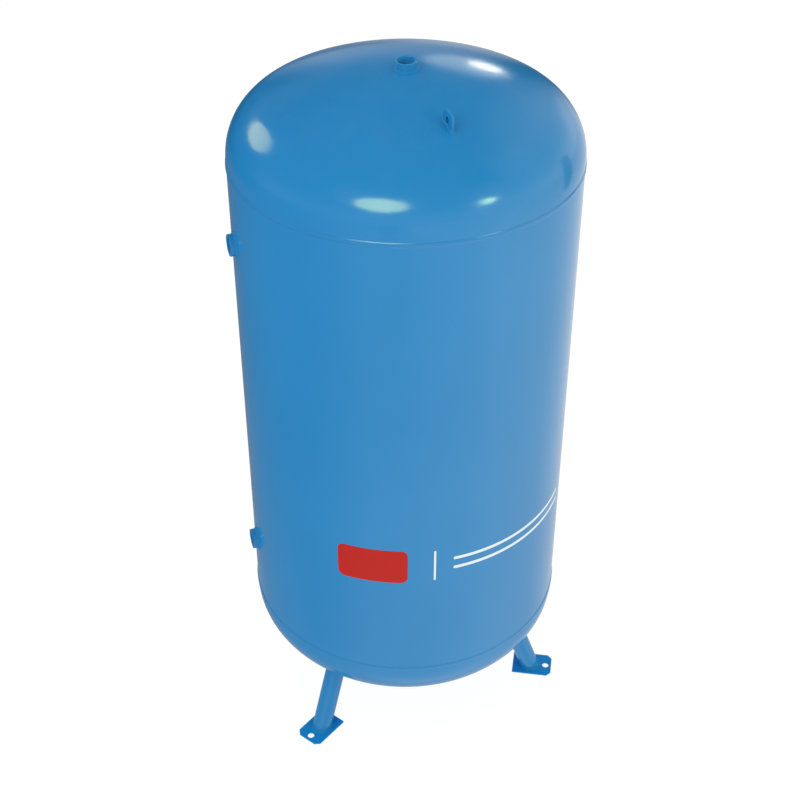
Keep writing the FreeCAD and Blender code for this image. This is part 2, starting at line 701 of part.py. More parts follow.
# --------------------------------------------------------------------------
# Ball valve, shown closed; its stem points to the front
# --------------------------------------------------------------------------
# Sizes of cutters, all reaching past what they cut
SHORT_CUT, MEDIUM_CUT = 20, 30
THREAD_PAST = 10
FLAT_CUT = 6

ball_r, bore_r, seat_back = dims.ball_radius, dims.ball_bore, dims.seat_back
ball_z = valve_top - thread - seat_back - dims.thread_shelf
barrel_foot = ball_z - dims.barrel_drop
stem_hole_r = dims.stem_radius + dims.stem_clearance


def on_stem(radius, start, length):
    """Cylinder on the stem axis, from a distance in front of the ball centre."""
    return cylinder(radius, length, (0, -start, ball_z), TO_FRONT)


# Body, with two stops for the lever's tab: closed and open
stop_length, stop_thick = dims.stop_length, dims.stop_thickness
stop_face = dims.tab_height / 2 + dims.stop_gap
body_solids = [
    upright(dims.valve_barrel, barrel_foot, seat_back + dims.barrel_drop),
    hexagon("valve_hex_blank", dims.valve_hex, valve_top - ball_z, (0, 0, ball_z)),
    on_stem(dims.boss_radius, 0, dims.boss_reach),
    box((stop_length, stop_length, stop_thick),
        (-(dims.stop_start + stop_length), -dims.boss_reach, ball_z - stop_face - stop_thick)),
    box((stop_thick, stop_length, stop_length),
        (stop_face, -dims.boss_reach, ball_z + dims.stop_start)),
]
body_bores = [
    upright(dims.seat_radius, ball_z - seat_back, seat_back * 2),
    upright(dims.retainer_radius, ball_z - seat_back - MEDIUM_CUT, MEDIUM_CUT),
    upright(bore_r, ball_z, 2 * SHORT_CUT),
    upright(thread_r, valve_top - thread, thread + THREAD_PAST),
    on_stem(stem_hole_r, 0, 2 * SHORT_CUT),
    on_stem(dims.shoulder_bore_radius, 0, dims.shoulder_bore_depth),
    on_stem(dims.gland_radius, dims.gland_seat, SHORT_CUT),
]
cut("drain_valve_body", fuse(None, *body_solids), *body_bores)

# Retainer screwed into the body from below, with the outlet thread
overlap = dims.retainer_overlap
outlet_face = barrel_foot - thread
retainer_spigot = upright(dims.retainer_radius, barrel_foot - overlap,
                          dims.barrel_drop - seat_back + overlap)
retainer_hex = hexagon("retainer_hex_blank", dims.valve_hex, thread, (0, 0, outlet_face))
retainer_bore = upright(bore_r, ball_z - 2 * MEDIUM_CUT, 2 * MEDIUM_CUT)
retainer_thread = upright(thread_r, outlet_face - THREAD_PAST, thread + THREAD_PAST)
cut("drain_valve_outlet", fuse(None, retainer_spigot, retainer_hex),
    retainer_bore, retainer_thread)

# Two seat rings, above and below the ball
seat_sphere = ball_r + dims.seat_clearance
lip_r = bore_r + dims.seat_lip
lip_z = crown_rise(seat_sphere, lip_r)
seat_rings = [
    place(revolved(label, [
        (bore_r, crown_rise(seat_sphere, bore_r)), (lip_r, lip_z), (dims.seat_radius, lip_z),
        (dims.seat_radius, seat_back), (bore_r, seat_back)],
        {0: (seat_sphere, RIGHT)}), (0, 0, ball_z), turn)
    for label, turn in (("seat_a", None), ("seat_b", UPSIDE_DOWN))]
group("valve_seat_rings", *seat_rings)

# Ball: its bore lies along X; the upright slot for the stem is on the -Y side
cut("valve_ball", sphere(ball_r, ball_z),
    cylinder(bore_r, 2 * MEDIUM_CUT, (-MEDIUM_CUT, 0, ball_z), TO_RIGHT),
    box((dims.slot_width, dims.slot_depth * 2, 2 * SHORT_CUT),
        (-dims.slot_width / 2, -(ball_r + dims.slot_depth), ball_z - SHORT_CUT)))

# Stem: tang in the ball's slot, shoulder, round, and a tip with two flats
stem_start = ball_r + dims.stem_start
stem_solids = [
    box((dims.tang_thickness, dims.tang_width, dims.tang_height),
        (-dims.tang_thickness / 2, -(ball_r + dims.tang_start), ball_z - dims.tang_height / 2)),
    on_stem(dims.shoulder_radius, stem_start, dims.shoulder_length),
    on_stem(dims.stem_radius, stem_start, dims.stem_length),
    on_stem(dims.stem_tip_radius, stem_start, dims.stem_tip_length),
]
stem_flats = [
    box((SHORT_CUT, SHORT_CUT, FLAT_CUT), (-SHORT_CUT / 2, -(dims.flat_start + SHORT_CUT), z))
    for z in (ball_z + dims.flat_offset, ball_z - dims.flat_offset - FLAT_CUT)]
cut("valve_stem", fuse(None, *stem_solids), *stem_flats)

# Packing ring and the nut that holds it
STEM_BORE_START = 20
cut("stem_packing", on_stem(dims.gland_radius, dims.gland_seat, dims.packing_length),
    on_stem(stem_hole_r, STEM_BORE_START, SHORT_CUT / 2))
gland_hex = hexagon("gland_hex_blank", dims.gland_hex, dims.gland_hex_thick,
                    (0, -dims.boss_reach, ball_z), TO_FRONT)
gland_thread = on_stem(dims.gland_radius, dims.gland_seat + dims.packing_length,
                       dims.gland_thread_length)
gland_bore = on_stem(stem_hole_r, STEM_BORE_START, MEDIUM_CUT)
cut("packing_nut", fuse(None, gland_hex, gland_thread), gland_bore)

# Lever: flat bar along +X with a flatted drive hole, and a tab bent back at its hub
lever_thick, lever_half = dims.lever_thickness, dims.lever_width / 2
lever_end, hub_r = dims.lever_reach, dims.lever_hub_radius
neck_half = lever_half - dims.lever_neck_inset
lever_face = dims.lever_offset + lever_thick
lever_blank = padded("lever_blank", [
    (0.0, -hub_r), (dims.lever_neck, -neck_half), (lever_end - lever_half, -lever_half),
    (lever_end, 0.0), (lever_end - lever_half, lever_half), (dims.lever_neck, neck_half),
    (0.0, hub_r), (-hub_r, 0.0)],
    lever_thick,
    {2: (lever_half, LEFT), 3: (lever_half, LEFT), 6: (hub_r, LEFT), 7: (hub_r, LEFT)})
place(lever_blank, (0, -dims.lever_offset, ball_z), TO_FRONT)
drive = on_stem(dims.stem_radius, MEDIUM_CUT, MEDIUM_CUT)
drive_flats = box((SHORT_CUT, MEDIUM_CUT, dims.flat_offset * 2),
                  (-SHORT_CUT / 2, -2 * MEDIUM_CUT, ball_z - dims.flat_offset))
tab = box((dims.tab_thickness, dims.tab_length, dims.tab_height),
          (-dims.tab_reach, -lever_face, ball_z - dims.tab_height / 2))
cut("valve_lever", fuse(None, lever_blank, tab), common(None, drive, drive_flats))

# Sleeve over the lever's outer end
sleeve_wall, sleeve_half = dims.sleeve_wall, lever_half + dims.sleeve_wall
sleeve_start = lever_end - dims.sleeve_length
sleeve_blank = padded("sleeve_blank", [
    (sleeve_start, -sleeve_half), (lever_end - lever_half, -sleeve_half),
    (lever_end + sleeve_wall, 0.0), (lever_end - lever_half, sleeve_half),
    (sleeve_start, sleeve_half)],
    lever_thick + sleeve_wall * 2,
    {1: (sleeve_half, LEFT), 2: (sleeve_half, LEFT)})
place(sleeve_blank, (0, -(dims.lever_offset - sleeve_wall), ball_z), TO_FRONT)
cut("lever_sleeve", sleeve_blank, lever_blank)

LEVER_NUT_BORE_PAST = 2.5
lever_nut_hex = hexagon("lever_nut_blank", dims.lever_nut_hex, dims.lever_nut_thick,
                        (0, -lever_face, ball_z), TO_FRONT)
cut("lever_nut", lever_nut_hex,
    on_stem(dims.stem_tip_radius, lever_face - LEVER_NUT_BORE_PAST, SHORT_CUT))

# --------------------------------------------------------------------------
# Data plate on a stand-off bracket at the right, slightly to the rear (no lettering).
# Built towards +X, then swung to its azimuth.
# --------------------------------------------------------------------------
BRACKET_SUNK = 20                # bracket blank starts inside the shell surface
BRACKET_BORE_PAST = 10
RIVET_DRILL = 40
PLATE_CORE = 400
DOME_DEPTH, DOME_SIDE = 10, 12   # box that keeps the front of a rivet's dome

plate_z, gauge = dims.plate_height, dims.bracket_gauge
bracket_half, bracket_foot = dims.bracket_width / 2, plate_z - dims.bracket_tall / 2
bracket_face = outer_r + dims.bracket_depth
plate_face = bracket_face + dims.plate_gauge

bracket_outer = box((dims.bracket_depth + BRACKET_SUNK, dims.bracket_width, dims.bracket_tall),
                    (outer_r - BRACKET_SUNK, -bracket_half, bracket_foot))
bracket_inner = box((dims.bracket_depth + BRACKET_SUNK - gauge, dims.bracket_width - gauge * 2,
                     dims.bracket_tall + 2 * BRACKET_BORE_PAST),
                    (outer_r - BRACKET_SUNK, -(bracket_half - gauge),
                     bracket_foot - BRACKET_BORE_PAST))
rivet_y = dims.plate_width / 2 - dims.rivet_inset
rivet_rise = dims.plate_tall / 2 - dims.rivet_inset
rivet_places = [(rivet_y * side, plate_z + rivet_rise * level)
                for side in (-1, 1) for level in (-1, 1)]
rivet_holes = [
    cylinder(dims.rivet_hole, RIVET_DRILL, (bracket_face - RIVET_DRILL / 2, y, z), TO_RIGHT)
    for y, z in rivet_places]
plate_core = upright(outer_r, plate_z - PLATE_CORE / 2, PLATE_CORE)
bracket = cut("data_plate_bracket", bracket_outer, bracket_inner, plate_core, *rivet_holes)
swing(bracket, dims.plate_azimuth)

# Plate, rounded at its four corner edges, which run along X
plate_blank = box((dims.plate_gauge, dims.plate_width, dims.plate_tall),
                  (bracket_face, -dims.plate_width / 2, plate_z - dims.plate_tall / 2))
plate_rounded = doc.addObject("Part::Fillet", "plate_corners")
plate_rounded.Label = "step_plate_corners"
plate_rounded.Base = plate_blank
doc.recompute()
corner_edges = []
for number, edge in enumerate(plate_blank.Shape.Edges, 1):
    start, end = edge.Vertexes[0].Point, edge.Vertexes[1].Point
    if abs(start.y - end.y) < 1e-6 and abs(start.z - end.z) < 1e-6:
        corner_edges.append((number, dims.plate_corner.value, dims.plate_corner.value))
plate_rounded.Edges = corner_edges
swing(cut("data_plate", plate_rounded, *rivet_holes), dims.plate_azimuth)


def rivet(y, z):
    excess, tail_thick = dims.rivet_shank_excess, dims.rivet_tail_thick
    back = bracket_face - gauge
    shank = cylinder(dims.rivet_shank, gauge + dims.plate_gauge + excess * 2,
                     (back - excess, y, z), TO_RIGHT)
    ball = primitive("Part::Sphere", Radius=dims.rivet_dome_radius)
    place(ball, (plate_face + dims.rivet_dome_rise - dims.rivet_dome_radius, y, z))
    front = box((DOME_DEPTH, DOME_SIDE, DOME_SIDE),
                (plate_face, y - DOME_SIDE / 2, z - DOME_SIDE / 2))
    dome = common(None, ball, front)
    tail = cylinder(dims.rivet_tail_radius, tail_thick, (back - tail_thick, y, z), TO_RIGHT)
    return fuse(None, shank, dome, tail)


rivets = group("data_plate_rivets", *[rivet(y, z) for y, z in rivet_places])
swing(rivets, dims.plate_azimuth)


def bracket_weld(label, side):
    """Three-sided bar along the outside of one bracket leg."""
    leg_y = bracket_half * side
    margin = dims.bracket_weld_margin
    corners = [
        (outer_r - dims.bracket_weld_depth, leg_y),
        (outer_r - dims.bracket_weld_crest, leg_y + dims.bracket_weld_width * side),
        (outer_r + dims.bracket_weld_rise, leg_y)]
    bar = padded(label, corners if side > 0 else corners[::-1], dims.bracket_tall - margin * 2)
    place(bar, (0, 0, bracket_foot + margin))
    return cut(None, bar, plate_core)


bracket_welds = group("data_plate_bracket_welds",
                      *[bracket_weld("bracket_weld_a", -1), bracket_weld("bracket_weld_b", 1)])
swing(bracket_welds, dims.plate_azimuth)

# --------------------------------------------------------------------------
# Decals: thin vinyl pieces lying on the shell, a plain panel, a rule and two bars
# --------------------------------------------------------------------------
FILM_HEIGHT, FILM_CORE_PAST = 400, 10
DECAL_CUTTER_REACH = 620


def film():
    bottom = dims.panel_height - FILM_HEIGHT / 2
    outer = upright(outer_r + dims.decal_gauge, bottom, FILM_HEIGHT)
    core = upright(outer_r, bottom - FILM_CORE_PAST, FILM_HEIGHT + 2 * FILM_CORE_PAST)
    return cut(None, outer, core)


def decal(label, azimuth, width, tall, corner, shift=0.0):
    """Piece of film with rounded corners; width is measured across the chord."""
    x, y = width / 2, tall / 2
    cutter = padded("cutter_" + label, [
        (-(x - corner), -y), (x - corner, -y), (x, -(y - corner)), (x, y - corner),
        (x - corner, y), (-(x - corner), y), (-x, y - corner), (-x, -(y - corner))],
        DECAL_CUTTER_REACH, {edge: (corner, LEFT) for edge in (1, 3, 5, 7)})
    # local X -> tangent, local Y -> up, local Z -> outwards
    angle = math.radians(azimuth.value)
    turn = Rotation(Vector(-math.sin(angle), math.cos(angle), 0), Vector(0, 0, 1),
                    Vector(math.cos(angle), math.sin(angle), 0), "XYZ")
    place(cutter, (0, 0, dims.panel_height + shift), turn)
    return common(label, film(), cutter)


def chord(arc_width):
    """Chord of the shell for a width along its surface."""
    return outer_r * 2 * sin_of(arc_width / outer_r / 2 * (180 / math.pi))


decal("emblem_panel", dims.panel_azimuth, chord(dims.panel_width), dims.panel_tall,
      dims.panel_corner)
decal("emblem_rule", dims.rule_azimuth, dims.rule_width, dims.rule_tall, dims.rule_corner)
half_pitch = dims.bars_pitch / 2
bars = [decal(label, dims.bars_azimuth, chord(dims.bars_width), dims.bars_tall,
              dims.bars_corner, shift)
        for label, shift in (("bar_a", half_pitch), ("bar_b", -half_pitch))]
group("label_bars", *bars)

# --------------------------------------------------------------------------
# Check and export
# --------------------------------------------------------------------------
NODES = [
    "shell", "longitudinal_weld", "top_head", "bottom_head", "top_girth_weld",
    "bottom_girth_weld", "top_port_socket", "top_port_weld", "upper_side_socket",
    "upper_side_weld", "lower_side_socket", "lower_side_weld", "lifting_lug",
    "lifting_lug_weld", "leg_left", "leg_right", "leg_rear", "foot_plate_left",
    "foot_plate_right", "foot_plate_rear", "leg_top_welds", "leg_foot_welds",
    "drain_socket", "drain_socket_weld", "drain_nipple", "drain_valve_body",
    "drain_valve_outlet", "valve_seat_rings", "valve_ball", "valve_stem", "stem_packing",
    "packing_nut", "valve_lever", "lever_sleeve", "lever_nut", "data_plate_bracket",
    "data_plate_bracket_welds", "data_plate", "data_plate_rivets",
    "emblem_panel", "emblem_rule", "label_bars",
]
doc.recompute()
errors = []
for obj in doc.Objects:
    if any(state in ("Invalid", "Error") for state in obj.State):
        errors.append("%s (%s): %s" % (obj.Name, obj.Label, obj.State))
shapes = {}
for node in NODES:
    found = doc.getObjectsByLabel(node)
    if len(found) != 1:
        errors.append("node %s: %d objects" % (node, len(found)))
        continue
    shape = found[0].Shape
    if shape.isNull() or not shape.isValid() or not shape.Solids or shape.Volume <= 0:
        errors.append("node %s: null, invalid or empty shape" % node)
    shapes[node] = shape
if errors:
    raise RuntimeError("model errors:\n" + "\n".join(errors))

os.makedirs("parts", exist_ok=True)
for node, shape in shapes.items():
    solids = shape.Solids
    piece = solids[0] if len(solids) == 1 else Part.makeCompound(solids)
    piece.exportStep(os.path.join("parts", node + ".step"))
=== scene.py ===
# A blue enamelled pressure vessel standing on three legs.  Metres, +Z up: the vessel axis is Z,
# the feet stand on z = 0, the two side ports look towards -X, the lifting lug is on the -Y side
# of the top head and the drain is at the bottom centre.
import math
import bpy
import bmesh
import numpy as np
from mathutils import Matrix, Vector


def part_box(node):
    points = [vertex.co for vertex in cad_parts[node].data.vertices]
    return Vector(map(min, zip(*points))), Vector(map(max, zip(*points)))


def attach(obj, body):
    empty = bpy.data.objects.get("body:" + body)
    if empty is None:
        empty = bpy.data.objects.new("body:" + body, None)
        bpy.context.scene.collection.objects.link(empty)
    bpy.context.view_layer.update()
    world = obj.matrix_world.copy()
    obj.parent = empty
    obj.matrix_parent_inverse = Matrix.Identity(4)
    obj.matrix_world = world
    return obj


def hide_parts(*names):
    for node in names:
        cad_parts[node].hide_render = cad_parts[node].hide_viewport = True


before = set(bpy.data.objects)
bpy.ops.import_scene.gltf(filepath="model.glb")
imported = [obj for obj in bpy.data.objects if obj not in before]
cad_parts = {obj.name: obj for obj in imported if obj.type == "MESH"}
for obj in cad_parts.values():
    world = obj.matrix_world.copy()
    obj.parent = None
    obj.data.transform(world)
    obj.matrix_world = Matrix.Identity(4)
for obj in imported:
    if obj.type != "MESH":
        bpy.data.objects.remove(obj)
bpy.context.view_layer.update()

MM = 0.001
TAU = 2 * math.pi


def mid_height(node):
    lo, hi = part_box(node)
    return (lo.z + hi.z) / 2


# ---------------------------------------------------------------------------
# driving dimensions
# ---------------------------------------------------------------------------
shell_lo, shell_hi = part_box("shell")
RADIUS = round((shell_hi.x - shell_lo.x) / 2, 5)
WALL = 6 * MM
BOTTOM_SEAM = mid_height("bottom_girth_weld")
TOP_SEAM = mid_height("top_girth_weld")

# dished heads: a crown sphere, a knuckle torus and a short straight flange
CROWN = 1100 * MM
KNUCKLE = 187 * MM
FLANGE = 19 * MM
DISH = CROWN - math.sqrt((CROWN - KNUCKLE) ** 2 - (RADIUS - KNUCKLE) ** 2)
TOP_TANGENT = TOP_SEAM + FLANGE
BOTTOM_TANGENT = BOTTOM_SEAM - FLANGE
TOP_CENTRE = TOP_TANGENT + DISH - CROWN          # heights of the crown spheres' centres
BOTTOM_CENTRE = BOTTOM_TANGENT - DISH + CROWN

# butt welds: half widths of the V groove and of the cap, and the cap's height
GROOVE_ROOT = 1.5 * MM
GROOVE_FACE = 4.5 * MM
GIRTH_HALF = 8.5 * MM
LONG_HALF = 6.5 * MM
CAP_RISE = 2.5 * MM

LONG_SEAM_DEG = 60                               # longitudinal seam, counterclockwise from +X
PORT_DEG = 3.75                                  # side ports, clockwise from -X
PORT_TURN = np.array(Matrix.Rotation(math.radians(-PORT_DEG), 3, "Z"))
PORT_AXIS = PORT_TURN @ np.array([-1.0, 0, 0])

# threaded sockets: thread_depth is measured outwards from the bore
PORT = dict(radius=35 * MM, bore=28.33 * MM, pitch=2.309 * MM,
            thread_depth=1.479 * MM * 0.86, segments=144)
DRAIN = dict(radius=17 * MM, bore=12.06 * MM, pitch=1.814 * MM,
             thread_depth=0.95 * MM, segments=96)
PORT_LENGTH = 45 * MM
HOLE_GAP = 0.5 * MM                              # between a socket and the hole it stands in
PORT_HOLE = PORT["radius"] + HOLE_GAP
DRAIN_HOLE = DRAIN["radius"] + HOLE_GAP


# ---------------------------------------------------------------------------
# mesh helpers; a shape is a pair of vertices and faces
# ---------------------------------------------------------------------------
def add_object(name, node, mesh, material, sharp):
    """Smooth-shaded part of the vessel that stands in for one CAD node."""
    for polygon in mesh.polygons:
        polygon.use_smooth = True
    mesh.set_sharp_from_angle(angle=math.radians(sharp))
    mesh.materials.append(material)
    ob = bpy.data.objects.new(name, mesh)
    bpy.context.scene.collection.objects.link(ob)
    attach(ob, "vessel")
    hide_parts(node)
    return ob


def add_shape(name, node, shape, material, sharp):
    verts, faces = shape
    mesh = bpy.data.meshes.new(name)
    bm = bmesh.new()
    made = [bm.verts.new(v) for v in verts]
    for face in faces:
        bm.faces.new([made[i] for i in face])
    loose = [v for v in bm.verts if not v.link_faces]
    if loose:
        bmesh.ops.delete(bm, geom=loose, context="VERTS")
    bmesh.ops.recalc_face_normals(bm, faces=bm.faces[:])
    bm.to_mesh(mesh)
    bm.free()
    return add_object(name, node, mesh, material, sharp)


def add_bead(name, node, shape):
    add_shape(name, node, shape, paint_weld, sharp=60)


def paint_hollow(ob, material, point, axis, radius, limit=math.inf):
    """Second material slot for the faces within radius of an axis and below limit along it."""
    ob.data.materials.append(material)
    for polygon in ob.data.polygons:
        offset = polygon.center - point
        along = offset.dot(axis)
        if (offset - axis * along).length < radius and along < limit:
            polygon.material_index = 1


def sweep(sections, closed=True):
    """Solid through closed polygons given as [path steps][points][3]."""
    sections = np.asarray(sections, float)
    count, size = sections.shape[:2]
    faces = []
    for i in range(count if closed else count - 1):
        here = i * size
        there = ((i + 1) % count) * size
        for j in range(size):
            k = (j + 1) % size
            faces.append((here + j, here + k, there + k, there + j))
    if not closed:
        faces.append(tuple(range(size - 1, -1, -1)))
        faces.append(tuple((count - 1) * size + j for j in range(size)))
    return sections.reshape(-1, 3), faces


def merged(shapes):
    verts, faces = [], []
    for shape_verts, shape_faces in shapes:
        faces += [tuple(i + len(verts) for i in face) for face in shape_faces]
        verts += list(shape_verts)
    return verts, faces


def lathe(profile, segments, origin=(0, 0, 0), axes=((1, 0, 0), (0, 1, 0), (0, 0, 1))):
    """Turned solid; profile(angle) gives (radius, height) points in the frame of the axes."""
    across, up, along, origin = (np.array(v, float) for v in (*axes, origin))
    sections = []
    for i in range(segments):
        angle = TAU * i / segments
        spoke = across * math.cos(angle) + up * math.sin(angle)
        sections.append([origin + spoke * r + along * z for r, z in profile(angle)])
    return sweep(sections)


def unit(v):
    v = np.asarray(v, float)
    return v / np.linalg.norm(v, axis=-1, keepdims=True)


def spokes(count):
    """Unit vectors all round the Z axis."""
    angle = np.arange(count) * TAU / count
    return np.stack([np.cos(angle), np.sin(angle), 0 * angle], 1)


def along_surface(direction, normal):
    """The part of each direction that lies in the surface with the given normals."""
    return direction - normal * np.sum(direction * normal, 1)[:, None]


def wander(seed, count, smooth):
    """Smoothed random values along a bead."""
    values = np.random.RandomState(seed).uniform(-1, 1, count)
    padded = np.concatenate([values[-smooth:], values, values[:smooth]])
    return np.convolve(padded, np.ones(smooth) / smooth, "same")[smooth:-smooth]


def ripple_phase(path, pitch, closed=True):
    """Ripple count at each path point, with a whole number of ripples on the path."""
    steps = np.linalg.norm(np.roll(path, -1, 0) - path, axis=1)
    reach = np.concatenate([[0], np.cumsum(steps)])
    total = reach[-1] if closed else reach[-2]
    return reach[:-1] / total * round(total / pitch)


def fillet_bead(corner, side_a, side_b, leg, seed, pitch=3.4 * MM):
    """Closed fillet weld along a corner line.  The sides point away from the corner on the two
    faces; the free face carries the curved ripples of a hand-laid bead."""
    face_steps = 8
    bulge, ripple_height = 0.16, 0.10            # in leg lengths
    sink = 0.12 * MM                             # how far the edges dip into the plates
    corner = np.asarray(corner, float)
    side_a = np.broadcast_to(unit(side_a), corner.shape)
    side_b = np.broadcast_to(unit(side_b), corner.shape)
    phase = ripple_phase(corner, pitch)
    drift = wander(seed, len(corner), smooth=9) * 0.06
    sections = []
    for i, (q, a, b) in enumerate(zip(corner, side_a, side_b)):
        leg_a = leg * (1 + drift[i])
        leg_b = leg * (1 - drift[i] * 0.7)
        outward = unit(a + b)
        points = []
        for k in range(face_steps + 1):
            t = k / face_steps
            hump = math.sin(math.pi * t)
            ripple = (0.5 + 0.5 * math.cos(TAU * (phase[i] - 0.35 * hump))) ** 1.6
            height = leg * hump * (bulge + ripple_height * (ripple - 0.4))
            points.append(q + a * leg_a * (1 - t) + b * leg_b * t + outward * height)
        points[0] = points[0] - b * sink
        points[-1] = points[-1] - a * sink
        points.append(q - (a + b) * sink)
        sections.append(points)
    return sweep(sections)


def butt_bead(path, normal, across, half, seed, closed=True):
    """Butt weld in a V groove: cap above the plate, root at its inner face."""
    cap_steps = 10
    pitch = 4.5 * MM
    ripple_height = 0.06                         # in cap heights
    sink = 0.05 * MM
    normal = np.broadcast_to(normal, path.shape)
    across = np.broadcast_to(across, path.shape)
    phase = ripple_phase(path, pitch, closed)
    sway = wander(seed, len(path), smooth=41) * 0.35 * MM
    sections = []
    for i, (q, up, side) in enumerate(zip(path, normal, across)):
        points = []
        for k in range(cap_steps + 1):
            t = -1 + 2 * k / cap_steps
            hump = 1 - t * t
            ripple = 0.5 + 0.5 * math.cos(TAU * (phase[i] - 0.45 * hump))
            height = CAP_RISE * (hump ** 0.8) * (1 - ripple_height + 2 * ripple_height * ripple)
            if k in (0, cap_steps):
                height = -sink
            points.append(q + side * (half * t + sway[i] * hump) + up * height)
        points.append(q + side * GROOVE_FACE - up * sink)
        points.append(q + side * GROOVE_ROOT - up * WALL)
        points.append(q - side * GROOVE_ROOT - up * WALL)
        points.append(q - side * GROOVE_FACE - up * sink)
        sections.append(points)
    return sweep(sections, closed)


def flat_plate(outline, hole, thickness, bevel):
    """Plate centred on z = 0 with rounded edges and one hole, given as (x, y, radius)."""
    curve = bpy.data.curves.new("tmp_plate", "CURVE")
    curve.dimensions = "2D"
    curve.fill_mode = "BOTH"
    curve.extrude = thickness / 2 - bevel
    curve.bevel_depth = bevel
    curve.bevel_resolution = 3
    curve.offset = -bevel
    hole_x, hole_y, hole_r = hole
    rim = [(hole_x + hole_r * math.cos(-TAU * k / 64), hole_y + hole_r * math.sin(-TAU * k / 64))
           for k in range(64)]
    for loop in (outline, rim):
        spline = curve.splines.new("POLY")
        spline.points.add(len(loop) - 1)
        for point, (x, y) in zip(spline.points, loop):
            point.co = (x, y, 0, 1)
        spline.use_cyclic_u = True
    ob = bpy.data.objects.new("tmp_plate", curve)
    bpy.context.scene.collection.objects.link(ob)
    depsgraph = bpy.context.evaluated_depsgraph_get()
    mesh = bpy.data.meshes.new_from_object(ob.evaluated_get(depsgraph))
    bpy.data.objects.remove(ob)
    bpy.data.curves.remove(curve)
    bm = bmesh.new()
    bm.from_mesh(mesh)
    bmesh.ops.remove_doubles(bm, verts=bm.verts[:], dist=2e-6)
    bmesh.ops.dissolve_degenerate(bm, dist=1e-7, edges=bm.edges[:])
    bmesh.ops.recalc_face_normals(bm, faces=bm.faces[:])
    bm.to_mesh(mesh)
    bm.free()
    return mesh


def round_corners(corners, radii, steps):
    """2D polygon with each corner rounded by its own radius; 0 keeps it sharp."""
    points = []
    for i, radius in enumerate(radii):
        before, corner, after = (np.array(corners[(i + k) % len(corners)], float)
                                 for k in (-1, 0, 1))
        if radius <= 0:
            points.append(tuple(corner))
            continue
        back, ahead = unit(before - corner), unit(after - corner)
        half = math.acos(float(back @ ahead)) / 2
        run = radius / math.tan(half)
        centre = corner + unit(back + ahead) * (radius / math.sin(half))
        first = corner + back * run - centre
        last = corner + ahead * run - centre
        start = math.atan2(first[1], first[0])
        turn = (math.atan2(last[1], last[0]) - start + math.pi) % TAU - math.pi
        for k in range(steps + 1):
            angle = start + turn * k / steps
            points.append((centre[0] + radius * math.cos(angle),
                           centre[1] + radius * math.sin(angle)))
    return points


# ---------------------------------------------------------------------------
# shader helpers
# ---------------------------------------------------------------------------
class Graph:
    """Node tree of a material or world; apart from node(), calls return output sockets."""

    def __init__(self, owner, output="OutputMaterial"):
        owner.use_nodes = True
        self.tree = owner.node_tree
        self.tree.nodes.clear()
        self.output = self.node(output)

    def node(self, kind, inputs=None, **settings):
        made = self.tree.nodes.new("ShaderNode" + kind)
        for key, value in settings.items():
            setattr(made, key, value)
        self.feed(made, inputs or {})
        return made

    def feed(self, node, inputs):
        """Link or set inputs, keyed by name or number."""
        for key, value in inputs.items():
            if isinstance(value, bpy.types.NodeSocket):
                self.tree.links.new(value, node.inputs[key])
            else:
                node.inputs[key].default_value = value

    def surface(self, shader):
        self.feed(self.output, {"Surface": shader})

    def principled(self, inputs):
        self.surface(self.node("BsdfPrincipled", inputs).outputs["BSDF"])

    def noise(self, vector, scale, detail=3.0, rough=0.5, distortion=0.0):
        return self.node("TexNoise", {
            "Vector": vector, "Scale": scale, "Detail": detail, "Roughness": rough,
            "Distortion": distortion}).outputs["Fac"]

    def remap(self, value, span, to=(0, 1)):
        """Clamped linear map of span onto to."""
        inputs = {0: value, 1: span[0], 2: span[1], 3: to[0], 4: to[1]}
        return self.node("MapRange", inputs).outputs[0]

    def math(self, operation, a, b):
        return self.node("Math", {0: a, 1: b}, operation=operation).outputs[0]

    def times(self, a, b):
        return self.math("MULTIPLY", a, b)

    def mix(self, a, b, factor=1.0, mode="MIX"):
        inputs = {0: factor, 6: a, 7: b}
        return self.node("Mix", inputs, data_type="RGBA", blend_type=mode).outputs[2]

    def mix_shader(self, factor, a, b):
        return self.node("MixShader", {0: factor, 1: a, 2: b}).outputs[0]

    def bump(self, height, strength, distance, under=None):
        inputs = {"Height": height, "Strength": strength, "Distance": distance}
        if under is not None:
            inputs["Normal"] = under
        return self.node("Bump", inputs).outputs["Normal"]

    def dot(self, vector, axis):
        inputs = {0: vector, 1: axis}
        return self.node("VectorMath", inputs, operation="DOT_PRODUCT").outputs["Value"]

    def height(self, vector):
        return self.node("SeparateXYZ", {0: vector}).outputs["Z"]

    def grey_ramp(self, value, stops):
        """Colour ramp through (position, grey level) stops."""
        node = self.node("ValToRGB", {"Fac": value})
        elements = node.color_ramp.elements
        while len(elements) > 1:
            elements.remove(elements[-1])
        elements[0].position = stops[0][0]
        elements[0].color = grey(stops[0][1])
        for position, level in stops[1:]:
            elements.new(position).color = grey(level)
        return node.outputs["Color"]


def grey(level):
    return (level, level, level, 1)


def tinted(rgb, gain, lift=(0, 0, 0)):
    """RGBA colour: each channel times its gain plus its lift."""
    return tuple(c * g + l for c, g, l in zip(rgb, gain, lift)) + (1,)


def new_material(name):
    """Material, its graph and its object coordinates."""
    material = bpy.data.materials.new(name)
    graph = Graph(material)
    return material, graph, graph.node("TexCoord").outputs["Object"]


